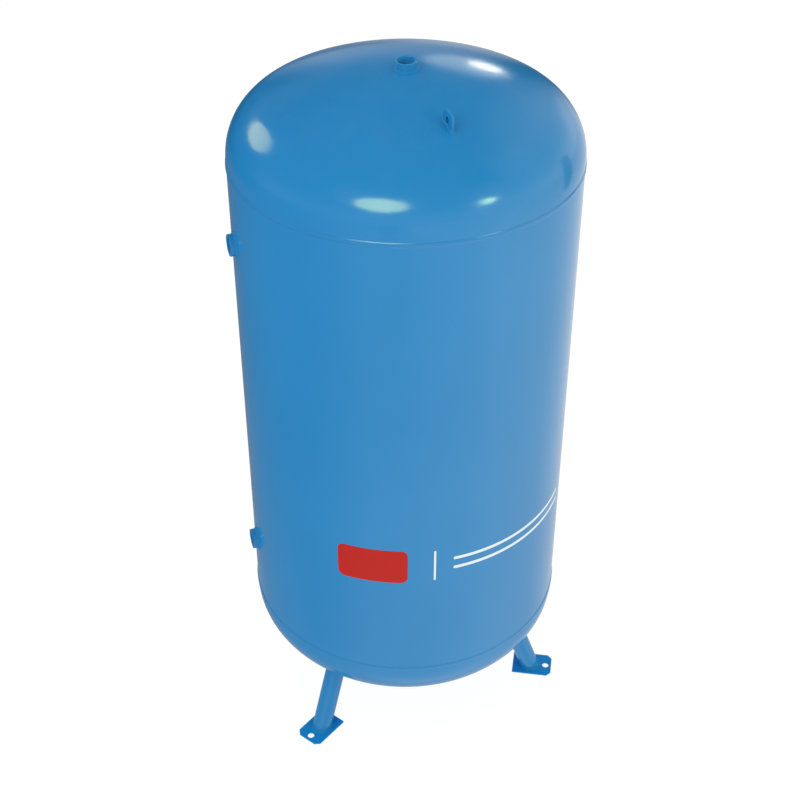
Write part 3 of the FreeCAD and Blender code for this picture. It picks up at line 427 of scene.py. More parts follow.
# ---------------------------------------------------------------------------
# materials
# ---------------------------------------------------------------------------
def enamel(name, rgb, roughness, peel=1.0, edge_wear=0.10, specular=0.5):
    """Gloss enamel: tone drift, orange peel, slow plate waviness, thin dust on upward faces and
    paint drawn thin along edges."""
    material, graph, place = new_material(name)
    drift = graph.noise(place, scale=1.7, detail=2.0)
    mottle = graph.noise(place, scale=38.0, detail=4.0, rough=0.55)
    colour = graph.mix(tinted(rgb, gain=(0.86, 0.955, 0.965)),
                       tinted(rgb, gain=(1.14, 1.04, 1.03), lift=(0.002, 0, 0)),
                       factor=graph.remap(drift, span=(0.3, 0.7)))
    colour = graph.mix(colour, tinted(rgb, gain=(0.8, 0.93, 0.95)),
                       factor=graph.remap(mottle, span=(0.35, 0.75), to=(0.0, 0.10)))

    # settled dust: only where the surface looks up, broken up by noise
    geometry = graph.node("NewGeometry").outputs
    upward = graph.remap(graph.height(geometry["Normal"]), span=(0.55, 1.0))
    patches = graph.noise(place, scale=14.0, detail=6.0, rough=0.62, distortion=0.4)
    dust = graph.times(upward, graph.remap(patches, span=(0.42, 0.75), to=(0.0, 0.018)))
    colour = graph.mix(colour, (0.42, 0.45, 0.47, 1), factor=dust)

    # thin paint on convex edges
    edge = graph.remap(geometry["Pointiness"], span=(0.53, 0.62))
    breaks = graph.noise(place, scale=160.0, detail=4.0, rough=0.6)
    edge = graph.times(edge, graph.remap(breaks, span=(0.38, 0.62)))
    thin = tinted(rgb, gain=(2.0, 1.35, 1.12), lift=(0.05, 0.03, 0.02))
    colour = graph.mix(colour, thin, factor=graph.times(edge, edge_wear))

    gloss = graph.remap(mottle, span=(0.3, 0.7), to=(roughness - 0.02, roughness + 0.03))
    gloss = graph.math("ADD", gloss, graph.times(dust, 1.4))
    gloss = graph.math("ADD", gloss, graph.times(edge, 0.06))

    # slow waviness of rolled plate, orange peel and fine spray texture
    wave = graph.noise(place, scale=4.2, detail=1.0, rough=0.4)
    peel_noise = graph.noise(place, scale=210.0, detail=1.5, rough=0.45)
    spray = graph.noise(place, scale=900.0, detail=2.0)
    normal = graph.bump(wave, strength=0.35, distance=0.0022)
    normal = graph.bump(peel_noise, strength=0.30 * peel, distance=0.00022, under=normal)
    normal = graph.bump(spray, strength=0.10 * peel, distance=0.00005, under=normal)
    graph.principled({"Base Color": colour, "Roughness": gloss, "Normal": normal,
                      "Specular IOR Level": specular})
    return material


def metal(name, rgb, roughness, scratch, stain, stretch=(1, 1, 1)):
    """Bare metal; scratch is the noise scale, stretch scales the grain along each axis and
    stain is the strength of the darker patches."""
    material, graph, place = new_material(name)
    stretched = graph.node("Mapping", {"Vector": place, "Scale": stretch}).outputs["Vector"]
    grain = graph.noise(stretched, scale=scratch * 12, detail=5.0, rough=0.65)
    patches = graph.noise(place, scale=scratch, distortion=0.3)
    graph.principled({
        "Base Color": graph.mix((*rgb, 1), tinted(rgb, gain=(0.62, 0.58, 0.52)),
                                factor=graph.remap(patches, span=(0.3, 0.7), to=(0, stain))),
        "Metallic": 1.0,
        "Roughness": graph.remap(grain, span=(0.3, 0.7), to=(roughness * 0.75, roughness * 1.3)),
        "Normal": graph.bump(grain, strength=0.18, distance=0.00008)})
    return material


def plastic(name, rgb, roughness, grain=700.0, depth=0.00006, specular=0.5, shade=0.85):
    """Plastic or film; grain and depth shape the fine texture, shade darkens the patches."""
    material, graph, place = new_material(name)
    texture = graph.noise(place, scale=grain, detail=4.0, rough=0.55)
    patches = graph.noise(place, scale=22.0, detail=4.0, rough=0.6)
    graph.principled({
        "Base Color": graph.mix((*rgb, 1), tinted(rgb, gain=(shade,) * 3),
                                factor=graph.remap(patches, span=(0.35, 0.7))),
        "Roughness": graph.remap(patches, span=(0.3, 0.7),
                                 to=(roughness * 0.85, roughness * 1.2)),
        "Specular IOR Level": specular,
        "Normal": graph.bump(texture, strength=0.25, distance=depth)})
    return material


BLUE = (0.0155, 0.226, 0.520)
WELD_BLUE = tinted(BLUE, gain=(0.95, 0.97, 0.98))
# painted light: the top boss and the lug get a slightly lighter copy of the body blue, so they
# read brighter than their lighting makes them
TOP_PAINTED_LIGHT_BLUE = tinted(BLUE, gain=(1.05, 1.05, 1.04))
# painted light: the faces inside the socket bores get a lighter blue than the outside, standing
# in for light reaching into the bore
BORE_PAINTED_LIGHT_BLUE = tinted(BLUE, gain=(1.1, 1.3, 1.25))
# painted shade: the wall of the lug's hole gets a much darker blue, standing in for the shade
# inside the hole
HOLE_PAINTED_SHADE_BLUE = tinted(BLUE, gain=(0.35, 0.42, 0.45))
# painted light and shade: the foot plates get their own retuned copy of the body blue, lower in
# red and higher in blue, for how light falls on them
FOOT_PAINTED_LIGHT_BLUE = (0.0060, 0.235, 0.595)
paint_blue = enamel("enamel_blue", BLUE, roughness=0.15)
paint_weld = enamel("enamel_blue_on_weld", WELD_BLUE, roughness=0.42, peel=0.6,
                    edge_wear=0.02, specular=0.08)
paint_girth = enamel("enamel_blue_on_girth", WELD_BLUE, roughness=0.17, peel=0.6)
paint_part = enamel("enamel_blue_fittings", BLUE, roughness=0.24, peel=0.8, specular=0.35)
paint_top_painted_light = enamel("enamel_blue_top_fittings_painted_light", TOP_PAINTED_LIGHT_BLUE, roughness=0.26, peel=0.8,
                   edge_wear=0.02, specular=0.30)
paint_bore_painted_light = enamel("enamel_blue_bores_painted_light", BORE_PAINTED_LIGHT_BLUE, roughness=0.30, peel=0.8, specular=0.30)
paint_hole_painted_shade = enamel("enamel_blue_hole_wall_painted_shade", HOLE_PAINTED_SHADE_BLUE, roughness=0.60, peel=0.6,
                    edge_wear=0.02, specular=0.05)
paint_foot_painted_light = enamel("enamel_blue_feet_painted_light", FOOT_PAINTED_LIGHT_BLUE, roughness=0.40, peel=0.8,
                    edge_wear=0.02, specular=0.06)

brass = metal("turned_brass", (0.78, 0.58, 0.27), roughness=0.26, scratch=55.0, stain=0.25)
chrome = metal("polished_ball", (0.80, 0.81, 0.82), roughness=0.06, scratch=40.0, stain=0.05)
zinc = metal("zinc_plated_steel", (0.62, 0.63, 0.66), roughness=0.28, scratch=80.0, stain=0.30)
aluminium = metal("brushed_aluminium", (0.60, 0.61, 0.63), roughness=0.38, scratch=40.0,
                  stain=0.14, stretch=(1, 1, 26))
ptfe = plastic("ptfe_white", (0.86, 0.86, 0.83), roughness=0.45)
vinyl_grip = plastic("dipped_vinyl_red", (0.50, 0.030, 0.025), roughness=0.32, grain=420.0,
                     depth=0.00015)
film_red = plastic("film_red", (0.51, 0.0125, 0.0065), roughness=0.34, grain=900.0,
                   depth=0.00003, specular=0.2, shade=0.93)
film_white = plastic("film_white", (0.80, 0.86, 0.90), roughness=0.30, grain=900.0,
                     depth=0.00003, shade=0.96)


# ---------------------------------------------------------------------------
# shell and heads
# ---------------------------------------------------------------------------
def shell_shape():
    """Rolled shell: one plate with bevelled edges that meet at the longitudinal seam, and two
    port holes.  It is made with the ports at 180 degrees and turned at the end."""
    columns = 384
    row_height = 22 * MM                         # aimed for between the port patches
    cells = 12                                   # width and height of a port patch
    half = cells // 2
    hole_rings = 5
    inner_radius = RADIUS - WALL
    seam = math.radians(LONG_SEAM_DEG + PORT_DEG)
    angles = [seam + TAU * i / columns for i in range(columns + 1)]
    cell = TAU * RADIUS / columns

    port_heights = sorted(mid_height(node) for node in ("upper_side_socket", "lower_side_socket"))
    bands = [[z + (k - half) * cell for k in range(cells + 1)] for z in port_heights]
    heights = [BOTTOM_SEAM + GROOVE_FACE]
    for band in bands + [[TOP_SEAM - GROOVE_FACE]]:
        bottom = heights[-1]
        gap = band[0] - bottom
        steps = max(2, int(round(gap / row_height)))
        heights += [bottom + gap * k / steps for k in range(1, steps + 1)] + band[1:]
    rows = len(heights)

    def at(i, k):
        return i * rows + k

    # patches: first and last column, first and last row, height of the port
    port_column = int(round((math.pi - seam) / TAU * columns))
    patches = []
    for z, band in zip(port_heights, bands):
        row = int(np.argmin(np.abs(np.array(heights) - band[0])))
        patches.append((port_column - half, port_column + half, row, row + cells, z))
    faces = []
    for i in range(columns):
        for k in range(rows - 1):
            if not any(a <= i < b and c <= k < d for a, b, c, d, _ in patches):
                faces.append((at(i, k), at(i + 1, k), at(i + 1, k + 1), at(i, k + 1)))

    # each patch closes in from its square border to the round hole
    patch_points = []                            # (y, z)
    for a, b, c, d, port_z in patches:
        border = [(i, c) for i in range(a, b)] + [(b, k) for k in range(c, d)]
        border += [(i, d) for i in range(b, a, -1)] + [(a, k) for k in range(d, c, -1)]
        offsets = [(RADIUS * math.sin(angles[i]), heights[k] - port_z) for i, k in border]
        outer = [at(i, k) for i, k in border]
        for ring in range(1, hole_rings + 1):
            blend = (ring / hole_rings) ** 0.8
            inner = []
            for y, z in offsets:
                angle = math.atan2(z, y)
                rim_y, rim_z = PORT_HOLE * math.cos(angle), PORT_HOLE * math.sin(angle)
                inner.append(len(angles) * rows + len(patch_points))
                patch_points.append((y * (1 - blend) + rim_y * blend,
                                     port_z + z * (1 - blend) + rim_z * blend))
            for q in range(len(border)):
                r = (q + 1) % len(border)
                faces.append((outer[q], outer[r], inner[r], inner[q]))
            outer = inner

    outer_verts, inner_verts = [], []
    for i, angle in enumerate(angles):
        edge = {0: 1, columns: -1}.get(i, 0)     # the plate's edges draw back from the seam
        outer_angle = angle + edge * math.asin(GROOVE_FACE / RADIUS)
        inner_angle = angle + edge * math.asin(GROOVE_ROOT / inner_radius)
        for k, z in enumerate(heights):
            inner_z = {0: BOTTOM_SEAM + GROOVE_ROOT, rows - 1: TOP_SEAM - GROOVE_ROOT}.get(k, z)
            outer_verts.append((RADIUS * math.cos(outer_angle),
                                RADIUS * math.sin(outer_angle), z))
            inner_verts.append((inner_radius * math.cos(inner_angle),
                                inner_radius * math.sin(inner_angle), inner_z))
    for y, z in patch_points:
        outer_verts.append((-math.sqrt(RADIUS * RADIUS - y * y), y, z))
        inner_verts.append((-math.sqrt(inner_radius * inner_radius - y * y), y, z))

    # inner skin, then walls along every open edge
    count = len(outer_verts)
    edges = dict.fromkeys((face[q], face[(q + 1) % 4]) for face in faces for q in range(4))
    faces += [tuple(count + v for v in reversed(face)) for face in faces]
    faces += [(v, u, count + u, count + v) for u, v in edges if (v, u) not in edges]
    return (np.array(outer_verts + inner_verts) @ PORT_TURN.T).tolist(), faces


def head_shape(hole, seam, tangent, centre, sign):
    """Dished head; sign is +1 for the top and -1 for the bottom."""
    knuckle_steps, crown_steps = 26, 30
    join = math.degrees(math.asin((RADIUS - KNUCKLE) / (CROWN - KNUCKLE)))

    def skin(inset):
        """Points from the tangent line to the hole."""
        points = []
        for k in range(knuckle_steps + 1):
            a = math.radians((90 - join) * k / knuckle_steps)
            points.append((RADIUS - KNUCKLE + (KNUCKLE - inset) * math.cos(a),
                           tangent + sign * (KNUCKLE - inset) * math.sin(a)))
        end = math.degrees(math.asin(hole / (CROWN - inset)))
        for k in range(1, crown_steps + 1):
            a = math.radians(join + (end - join) * k / crown_steps)
            points.append(((CROWN - inset) * math.sin(a),
                           centre + sign * (CROWN - inset) * math.cos(a)))
        return points

    profile = [(RADIUS, seam + sign * GROOVE_FACE)] + skin(0) + skin(WALL)[::-1]
    profile.append((RADIUS - WALL, seam + sign * GROOVE_ROOT))
    return lathe(lambda angle: profile, segments=288)


def girth_bead(name, node, z, seed):
    normal = spokes(2880)
    path = normal * RADIUS + np.array([0, 0, z])
    shape = butt_bead(path, normal, (0, 0, 1.0), GIRTH_HALF, seed)
    add_shape(name, node, shape, paint_girth, sharp=60)


def longitudinal_bead():
    lap = GIRTH_HALF * 0.9                       # its ends run in under the girth caps
    z = np.linspace(BOTTOM_SEAM + lap, TOP_SEAM - lap, 1400)
    ca, sa = math.cos(math.radians(LONG_SEAM_DEG)), math.sin(math.radians(LONG_SEAM_DEG))
    path = np.stack([np.full(len(z), RADIUS * ca), np.full(len(z), RADIUS * sa), z], 1)
    add_bead("longitudinal_bead", "longitudinal_weld",
             butt_bead(path, (ca, sa, 0), (-sa, ca, 0), LONG_HALF, seed=13, closed=False))


add_shape("vessel_shell", "shell", shell_shape(), paint_blue, sharp=30)
add_shape("top_dished_head", "top_head",
          head_shape(PORT_HOLE, TOP_SEAM, TOP_TANGENT, TOP_CENTRE, sign=1),
          paint_blue, sharp=30)
add_shape("bottom_dished_head", "bottom_head",
          head_shape(DRAIN_HOLE, BOTTOM_SEAM, BOTTOM_TANGENT, BOTTOM_CENTRE, sign=-1),
          paint_blue, sharp=30)
girth_bead("top_girth_bead", "top_girth_weld", TOP_SEAM, seed=11)
girth_bead("bottom_girth_bead", "bottom_girth_weld", BOTTOM_SEAM, seed=12)
longitudinal_bead()


# ---------------------------------------------------------------------------
# threaded sockets
# ---------------------------------------------------------------------------
def threaded_socket(name, node, size, length, mouth, direction, material=paint_part):
    """Socket with a helical thread; mouth is the centre of its open face."""
    radius, bore, pitch, depth = (size[k] for k in ("radius", "bore", "pitch", "thread_depth"))
    chamfer = 1.0 * MM
    entry = 2.2 * MM                             # length over which the thread runs out
    turn_steps = 8
    rows = int(length / pitch * turn_steps)
    mouth_radius = bore + 0.6 * MM
    axis = Vector(direction).normalized()
    reference = Vector((0, 0, 1)) if abs(axis.z) < 0.9 else Vector((1, 0, 0))
    across = reference.cross(axis).normalized()

    def profile(angle):
        # outside, from the inner end to the mouth
        points = [(radius - 0.6 * MM, -length), (radius - 0.15 * MM, -length + 0.25 * MM),
                  (radius, -length + 0.7 * MM), (radius, -length * 0.5),
                  (radius, -chamfer - 0.3 * MM)]
        points += [(radius - chamfer * (1 - math.cos(a)), -chamfer + chamfer * math.sin(a))
                   for a in (0.25, 0.6, 0.95, 1.3, math.pi / 2)]
        points += [(mouth_radius + 0.7 * MM, 0.0), (mouth_radius, -0.5 * MM)]
        # thread, from the mouth to the inner end
        for k in range(1, rows):
            z = -length * k / rows
            tooth = 1 - abs(2 * ((z / pitch - angle / TAU) % 1.0) - 1)
            tooth = min(1.0, max(0.0, (tooth - 0.12) / 0.76))
            fade = min(1.0, max(0.0, (-z - 0.6 * MM) / entry))
            lead_in = max(0.0, 1 + z / (1.2 * MM))
            relief = max(0.0, 1 - (z + length) / (1.6 * MM))
            points.append((max(bore + depth * tooth * fade, bore + 0.6 * MM * lead_in,
                               bore + depth * relief), z))
        points.append((bore + depth + 0.4 * MM, -length))
        return points

    shape = lathe(profile, size["segments"], mouth, (across, axis.cross(across), axis))
    ob = add_shape(name, node, shape, material, sharp=50)
    # painted light: the faces inside the bore get the lighter bore blue
    paint_hollow(ob, paint_bore_painted_light, Vector(mouth), axis, bore + depth + 0.5 * MM, limit=-0.4 * MM)


def side_port_mouth(node):
    """The box's -X side is the mouth's rim; the reach along the turned axis follows from it."""
    turn = math.radians(PORT_DEG)
    reach = (-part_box(node)[0].x - PORT["radius"] * math.sin(turn)) / math.cos(turn)
    return tuple(PORT_AXIS * reach + np.array([0, 0, mid_height(node)]))


def top_port_bead():
    radius = PORT["radius"]
    out = spokes(220)
    corner = out * radius + np.array([0, 0, TOP_CENTRE + math.sqrt(CROWN ** 2 - radius ** 2)])
    slope = math.asin(radius / CROWN)
    downhill = out * math.cos(slope) + np.array([0, 0, -math.sin(slope)])
    add_bead("top_port_bead", "top_port_weld",
             fillet_bead(corner, (0, 0, 1.0), downhill, leg=6.4 * MM, seed=21))


def side_port_bead(name, node, port_z, seed):
    out = np.roll(spokes(220), 1, axis=1)        # unit vectors round the X axis
    y, z = PORT["radius"] * out[:, 1], PORT["radius"] * out[:, 2]
    x = -np.sqrt(RADIUS * RADIUS - y * y)
    normal = np.stack([x / RADIUS, y / RADIUS, 0 * y], 1)
    verts, faces = fillet_bead(np.stack([x, y, port_z + z], 1), (-1.0, 0, 0),
                               along_surface(out, normal), leg=6.4 * MM, seed=seed)
    add_bead(name, node, ((verts @ PORT_TURN.T).tolist(), faces))


def drain_bead():
    radius = DRAIN["radius"]
    out = spokes(120)
    corner = out * radius + np.array([0, 0, BOTTOM_CENTRE - math.sqrt(CROWN ** 2 - radius ** 2)])
    add_bead("drain_boss_bead", "drain_socket_weld",
             fillet_bead(corner, (0, 0, -1.0), out, leg=4.6 * MM, seed=24, pitch=3.0 * MM))


SIDE_PORTS = (
    # object, socket node, weld node, bead seed
    ("upper_side_port", "upper_side_socket", "upper_side_weld", 22),
    ("lower_side_port", "lower_side_socket", "lower_side_weld", 23),
)
lo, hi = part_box("top_port_socket")
# the top boss wears the lighter top-fitting blue, which is painted light
threaded_socket("top_port_boss", "top_port_socket", PORT, hi.z - lo.z, (0, 0, hi.z), (0, 0, 1),
                paint_top_painted_light)
for name, socket, _, _ in SIDE_PORTS:
    threaded_socket(name, socket, PORT, PORT_LENGTH, side_port_mouth(socket), tuple(PORT_AXIS))
lo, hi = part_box("drain_socket")
threaded_socket("drain_boss", "drain_socket", DRAIN, hi.z - lo.z, (0, 0, lo.z), (0, 0, -1))
top_port_bead()
for name, socket, weld, seed in SIDE_PORTS:
    side_port_bead(name + "_bead", weld, mid_height(socket), seed)
drain_bead()

# ---------------------------------------------------------------------------
# lifting lug: an upright plate on the -Y side of the top head
# ---------------------------------------------------------------------------
LUG_INNER = 282 * MM                             # distances from the vessel axis
LUG_OUTER = 342.5 * MM
LUG_THICK = 8 * MM
LUG_HOLE = (312 * MM, 2431.5 * MM, 9 * MM)       # distance, height, radius
LUG_TURN = Matrix.Rotation(math.radians(0.95), 3, "Z")


def lug_plate():
    def on_crown(distance):
        return distance, TOP_CENTRE + math.sqrt(CROWN * CROWN - distance * distance)

    corners = [on_crown(LUG_OUTER), (LUG_OUTER, 2452.5 * MM), (LUG_INNER + 17 * MM, 2459.5 * MM),
               (LUG_INNER, 2444.5 * MM), on_crown(LUG_INNER)]
    outline = round_corners(corners, [0, 4 * MM, 9 * MM, 7 * MM, 0], steps=8)
    outline += [on_crown(LUG_INNER + (LUG_OUTER - LUG_INNER) * k / 12) for k in range(1, 12)]
    mesh = flat_plate(outline, LUG_HOLE, LUG_THICK, bevel=0.7 * MM)
    # outline x runs towards -Y, outline y runs up and the thickness lies along X
    stand = Matrix(((0, 0, 1, 0), (-1, 0, 0, 0), (0, 1, 0, 0), (0, 0, 0, 1)))
    mesh.transform(LUG_TURN.to_4x4() @ stand)
    # painted light: the lug plate wears the lighter top-fitting blue
    ob = add_object("lifting_eye_plate", "lifting_lug", mesh, paint_top_painted_light, sharp=40)
    distance, height, radius = LUG_HOLE
    # painted shade: the wall of the lug's hole gets the much darker hole blue
    paint_hollow(ob, paint_hole_painted_shade, LUG_TURN @ Vector((0, -distance, height)),
                 LUG_TURN @ Vector((1, 0, 0)), radius + 0.4 * MM)


def lug_bead():
    step = 1.2 * MM
    half = LUG_THICK / 2
    corners = [(-half, LUG_INNER), (half, LUG_INNER), (half, LUG_OUTER), (-half, LUG_OUTER)]
    outline = round_corners(corners, [0.9 * MM] * 4, steps=6)
    points = []
    for i in range(len(outline)):
        start, end = np.array(outline[i]), np.array(outline[(i + 1) % len(outline)])
        pieces = max(1, int(round(np.linalg.norm(end - start) / step)))
        points += [start + (end - start) * k / pieces for k in range(pieces)]
    points = np.array(points)
    tangent = unit(np.roll(points, -1, 0) - np.roll(points, 1, 0))
    out = np.stack([tangent[:, 1], tangent[:, 0], 0 * tangent[:, 0]], 1)
    corner = np.array([[x, -y, TOP_CENTRE + math.sqrt(CROWN ** 2 - x ** 2 - y ** 2)]
                       for x, y in points])
    normal = unit(corner - np.array([0, 0, TOP_CENTRE]))
    verts, faces = fillet_bead(corner, (0, 0, 1.0), along_surface(out, normal),
                               leg=4.4 * MM, seed=31, pitch=3.0 * MM)
    add_bead("lifting_eye_bead", "lifting_lug_weld",
             ([LUG_TURN @ Vector(v) for v in verts], faces))


lug_plate()
lug_bead()

# ---------------------------------------------------------------------------
# legs and feet
# ---------------------------------------------------------------------------
LEG_RADIUS = 35 * MM
LEG_WALL = 3 * MM
LEG_TILT = math.radians(20.7)                    # from the vertical, inwards going up
LEG_REACH = 495.3 * MM                           # vessel axis to tube axis, on top of the foot
FOOT_THICK = 6 * MM
FOOT_INNER = 431 * MM                            # distances from the vessel axis
FOOT_OUTER = 580 * MM
FOOT_HALF = 51.75 * MM
FOOT_CHAMFER = 16 * MM
FOOT_HOLE = (558 * MM, 0, 12.5 * MM)
LEGS = (
    # side, azimuth in degrees, seeds of the top and foot beads
    ("left", -150, 45, 55),
    ("right", -30, 46, 56),
    ("rear", 90, 47, 57),
)


def leg(side, azimuth, top_seed, foot_seed):
    """One tube and its foot plate; returns the shapes of its top and foot beads."""
    a = math.radians(azimuth)
    outward = np.array([math.cos(a), math.sin(a), 0])
    sideways = np.array([-math.sin(a), math.cos(a), 0])
    up = -outward * math.sin(LEG_TILT) + np.array([0, 0, math.cos(LEG_TILT)])
    front = np.cross(sideways, up)               # square to the tube, away from the vessel
    foot = outward * LEG_REACH + np.array([0, 0, FOOT_THICK])
    centre = np.array([0, 0, BOTTOM_CENTRE])

    def tube_line(angle, radius):
        """Line along the tube: a point and the runs from it to the foot and to the crown."""
        point = foot + (front * math.cos(angle) * radius + sideways * math.sin(angle) * radius)
        to_foot = (FOOT_THICK - point[2]) / up[2]
        q = point - centre
        b = q @ up
        to_crown = -b - math.sqrt(b * b - (q @ q - CROWN * CROWN))
        return point, to_foot, to_crown

    segments, outer_rows, inner_rows = 128, 14, 4
    sections = []
    for i in range(segments):
        angle = TAU * i / segments
        point, low, high = tube_line(angle, LEG_RADIUS)
        section = [point + up * (low + (high - low) * k / outer_rows)
                   for k in range(outer_rows + 1)]
        point, low, high = tube_line(angle, LEG_RADIUS - LEG_WALL)
        section += [point + up * (high + (low - high) * k / inner_rows)
                    for k in range(inner_rows + 1)]
        sections.append(section)
    add_shape("leg_tube_" + side, "leg_" + side, sweep(sections), paint_blue, sharp=40)

    bead_steps = 200
    top_line, along_head, foot_line, along_foot = [], [], [], []
    for i in range(bead_steps):
        angle = TAU * i / bead_steps
        point, low, high = tube_line(angle, LEG_RADIUS)
        out = front * math.cos(angle) + sideways * math.sin(angle)
        top = point + up * high
        normal = (top - centre) / CROWN
        top_line.append(top)
        along_head.append(out - normal * (out @ normal))
        foot_line.append(point + up * low)
        along_foot.append(np.array([out[0], out[1], 0]))
    top_bead = fillet_bead(top_line, -up, along_head, leg=5.6 * MM, seed=top_seed)
    foot_bead = fillet_bead(foot_line, up, along_foot, leg=4.6 * MM, seed=foot_seed)

    corners = [(FOOT_INNER, -FOOT_HALF), (FOOT_OUTER - FOOT_CHAMFER, -FOOT_HALF),
               (FOOT_OUTER, FOOT_CHAMFER - FOOT_HALF), (FOOT_OUTER, FOOT_HALF - FOOT_CHAMFER),
               (FOOT_OUTER - FOOT_CHAMFER, FOOT_HALF), (FOOT_INNER, FOOT_HALF)]
    outline = round_corners(corners, [1.2 * MM] * 6, steps=4)
    mesh = flat_plate(outline, FOOT_HOLE, FOOT_THICK, bevel=0.6 * MM)
    mesh.transform(Matrix.Rotation(a, 4, "Z") @ Matrix.Translation((0, 0, FOOT_THICK / 2)))
    # painted light and shade: the foot plates wear their own retuned blue
    add_object("foot_" + side, "foot_plate_" + side, mesh, paint_foot_painted_light, sharp=40)
    return top_bead, foot_bead


top_beads, foot_beads = zip(*[leg(*row) for row in LEGS])
add_bead("leg_top_beads", "leg_top_welds", merged(top_beads))
add_bead("leg_foot_beads", "leg_foot_welds", merged(foot_beads))

# ---------------------------------------------------------------------------
# materials of the CAD nodes that stay; the rest of them get paint_part
# ---------------------------------------------------------------------------
NODE_MATERIALS = {
    "drain_nipple": brass, "drain_valve_body": brass, "drain_valve_outlet": brass,
    "valve_stem": brass, "packing_nut": brass, "valve_ball": chrome, "valve_lever": zinc,
    "lever_nut": zinc, "valve_seat_rings": ptfe, "stem_packing": ptfe,
    "lever_sleeve": vinyl_grip, "data_plate": aluminium, "data_plate_rivets": aluminium,
    "data_plate_bracket_welds": paint_weld, "emblem_panel": film_red,
    "emblem_rule": film_white, "label_bars": film_white,
}
for name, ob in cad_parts.items():
    if ob.hide_render:
        continue
    material = NODE_MATERIALS.get(name, paint_part)
    if not ob.material_slots:
        ob.data.materials.append(material)
    for slot in ob.material_slots:
        slot.material = material

# ---------------------------------------------------------------------------
# studio: horizontal directions as the camera sees them
# ---------------------------------------------------------------------------
YAW = -0.37691
RIGHT = Vector((math.cos(YAW), math.sin(YAW), 0))
AWAY = Vector((-math.sin(YAW), math.cos(YAW), 0))


def direction(azimuth, elevation):
    """Unit vector; degrees, azimuth counterclockwise from +X."""
    a, e = math.radians(azimuth), math.radians(elevation)
    return Vector((math.cos(e) * math.cos(a), math.cos(e) * math.sin(a), math.sin(e)))


def turn_to(ob, axis):
    """Point the object's +Z along the axis."""
    ob.rotation_mode = "QUATERNION"
    ob.rotation_quaternion = axis.to_track_quat("Z", "Y")


def ray_parts(graph, vector, sign):
    """Horizontal heading and slope of a ray; sign -1 reverses the vector."""
    flat = graph.node("VectorMath", {0: vector, 1: (sign, sign, 0.0)}, operation="MULTIPLY")
    heading = graph.node("VectorMath", {0: flat.outputs[0]}, operation="NORMALIZE").outputs[0]
    return heading, graph.times(graph.height(vector), sign)


def horizon_gaps(graph, rightward, away, weight):
    """The horizon seen in the paint: bright panels with dark gaps, behind the tank."""
    gaps = graph.grey_ramp(graph.remap(rightward, span=(-1.0, 1.0)), [
        (0.0, 0.05), (0.355, 0.05), (0.39, 0.55), (0.42, 1.05), (0.47, 0.95), (0.55, 0.60),
        (0.575, 0.40), (0.595, 0.04), (0.635, 0.04), (0.665, 0.45), (0.71, 1.0), (1.0, 1.0)])
    weight = graph.times(weight, graph.remap(away, span=(0.05, 0.35)))
    return graph.mix(grey(1.0), gaps, factor=weight)


def floor_material():
    """Pale floor with separate levels for camera, glossy and all other rays."""
    material, graph, place = new_material("studio_floor")
    rays = graph.node("LightPath").outputs
    geometry = graph.node("NewGeometry").outputs

    # what the camera sees
    tone = graph.remap(graph.noise(place, scale=3.0, detail=4.0), span=(0.3, 0.7))
    tone = graph.mix((0.115, 0.115, 0.115, 1), (0.12, 0.12, 0.12, 1), factor=tone)
    diffuse = graph.node("BsdfDiffuse", {"Color": tone}).outputs[0]
    glow = graph.node("Emission", {"Strength": 0.93}).outputs[0]
    seen = graph.node("AddShader", {0: diffuse, 1: glow}).outputs[0]

    # what the paint mirrors: brighter to the right
    mirrored = graph.grey_ramp(graph.remap(graph.dot(place, RIGHT), span=(-2.6, 2.6)), [
        (0.0, 0.12), (0.30, 0.22), (0.44, 0.42), (0.58, 0.66), (0.78, 0.86), (1.0, 0.90)])
    heading, slope = ray_parts(graph, geometry["Incoming"], sign=-1.0)
    rightward = graph.dot(heading, RIGHT)
    away = graph.dot(heading, AWAY)
    towards_minus_y = graph.dot(heading, Vector((0, -1, 0)))
    # a lift towards the camera's side, dimmed for the shallower rays that head along -Y
    panel = graph.times(graph.remap(rightward, span=(-0.95, -0.45)),
                        graph.remap(away, span=(0.35, -0.40)))
    dip = graph.times(graph.remap(towards_minus_y, span=(0.78, 0.97), to=(0, 0.8)),
                      graph.remap(slope, span=(-0.68, -0.57)))
    panel = graph.times(panel, graph.math("SUBTRACT", 1.0, dip))
    lift = graph.mix(grey(0.0), grey(0.38), factor=panel)
    mirrored = graph.mix(mirrored, lift, mode="ADD")
    gaps = horizon_gaps(graph, rightward, away, graph.remap(slope, span=(-0.37, -0.24)))
    mirrored = graph.mix(mirrored, gaps, mode="MULTIPLY")

    level = graph.mix(grey(1.03), mirrored, factor=rays["Is Glossy Ray"])
    unseen = graph.node("Emission", {"Color": level}).outputs[0]
    shader = graph.mix_shader(rays["Is Camera Ray"], unseen, seen)
    # clear from below, so that the underside can be looked at
    clear = graph.node("BsdfTransparent").outputs[0]
    graph.surface(graph.mix_shader(geometry["Backfacing"], shader, clear))
    material.cycles.emission_sampling = "NONE"
    return material


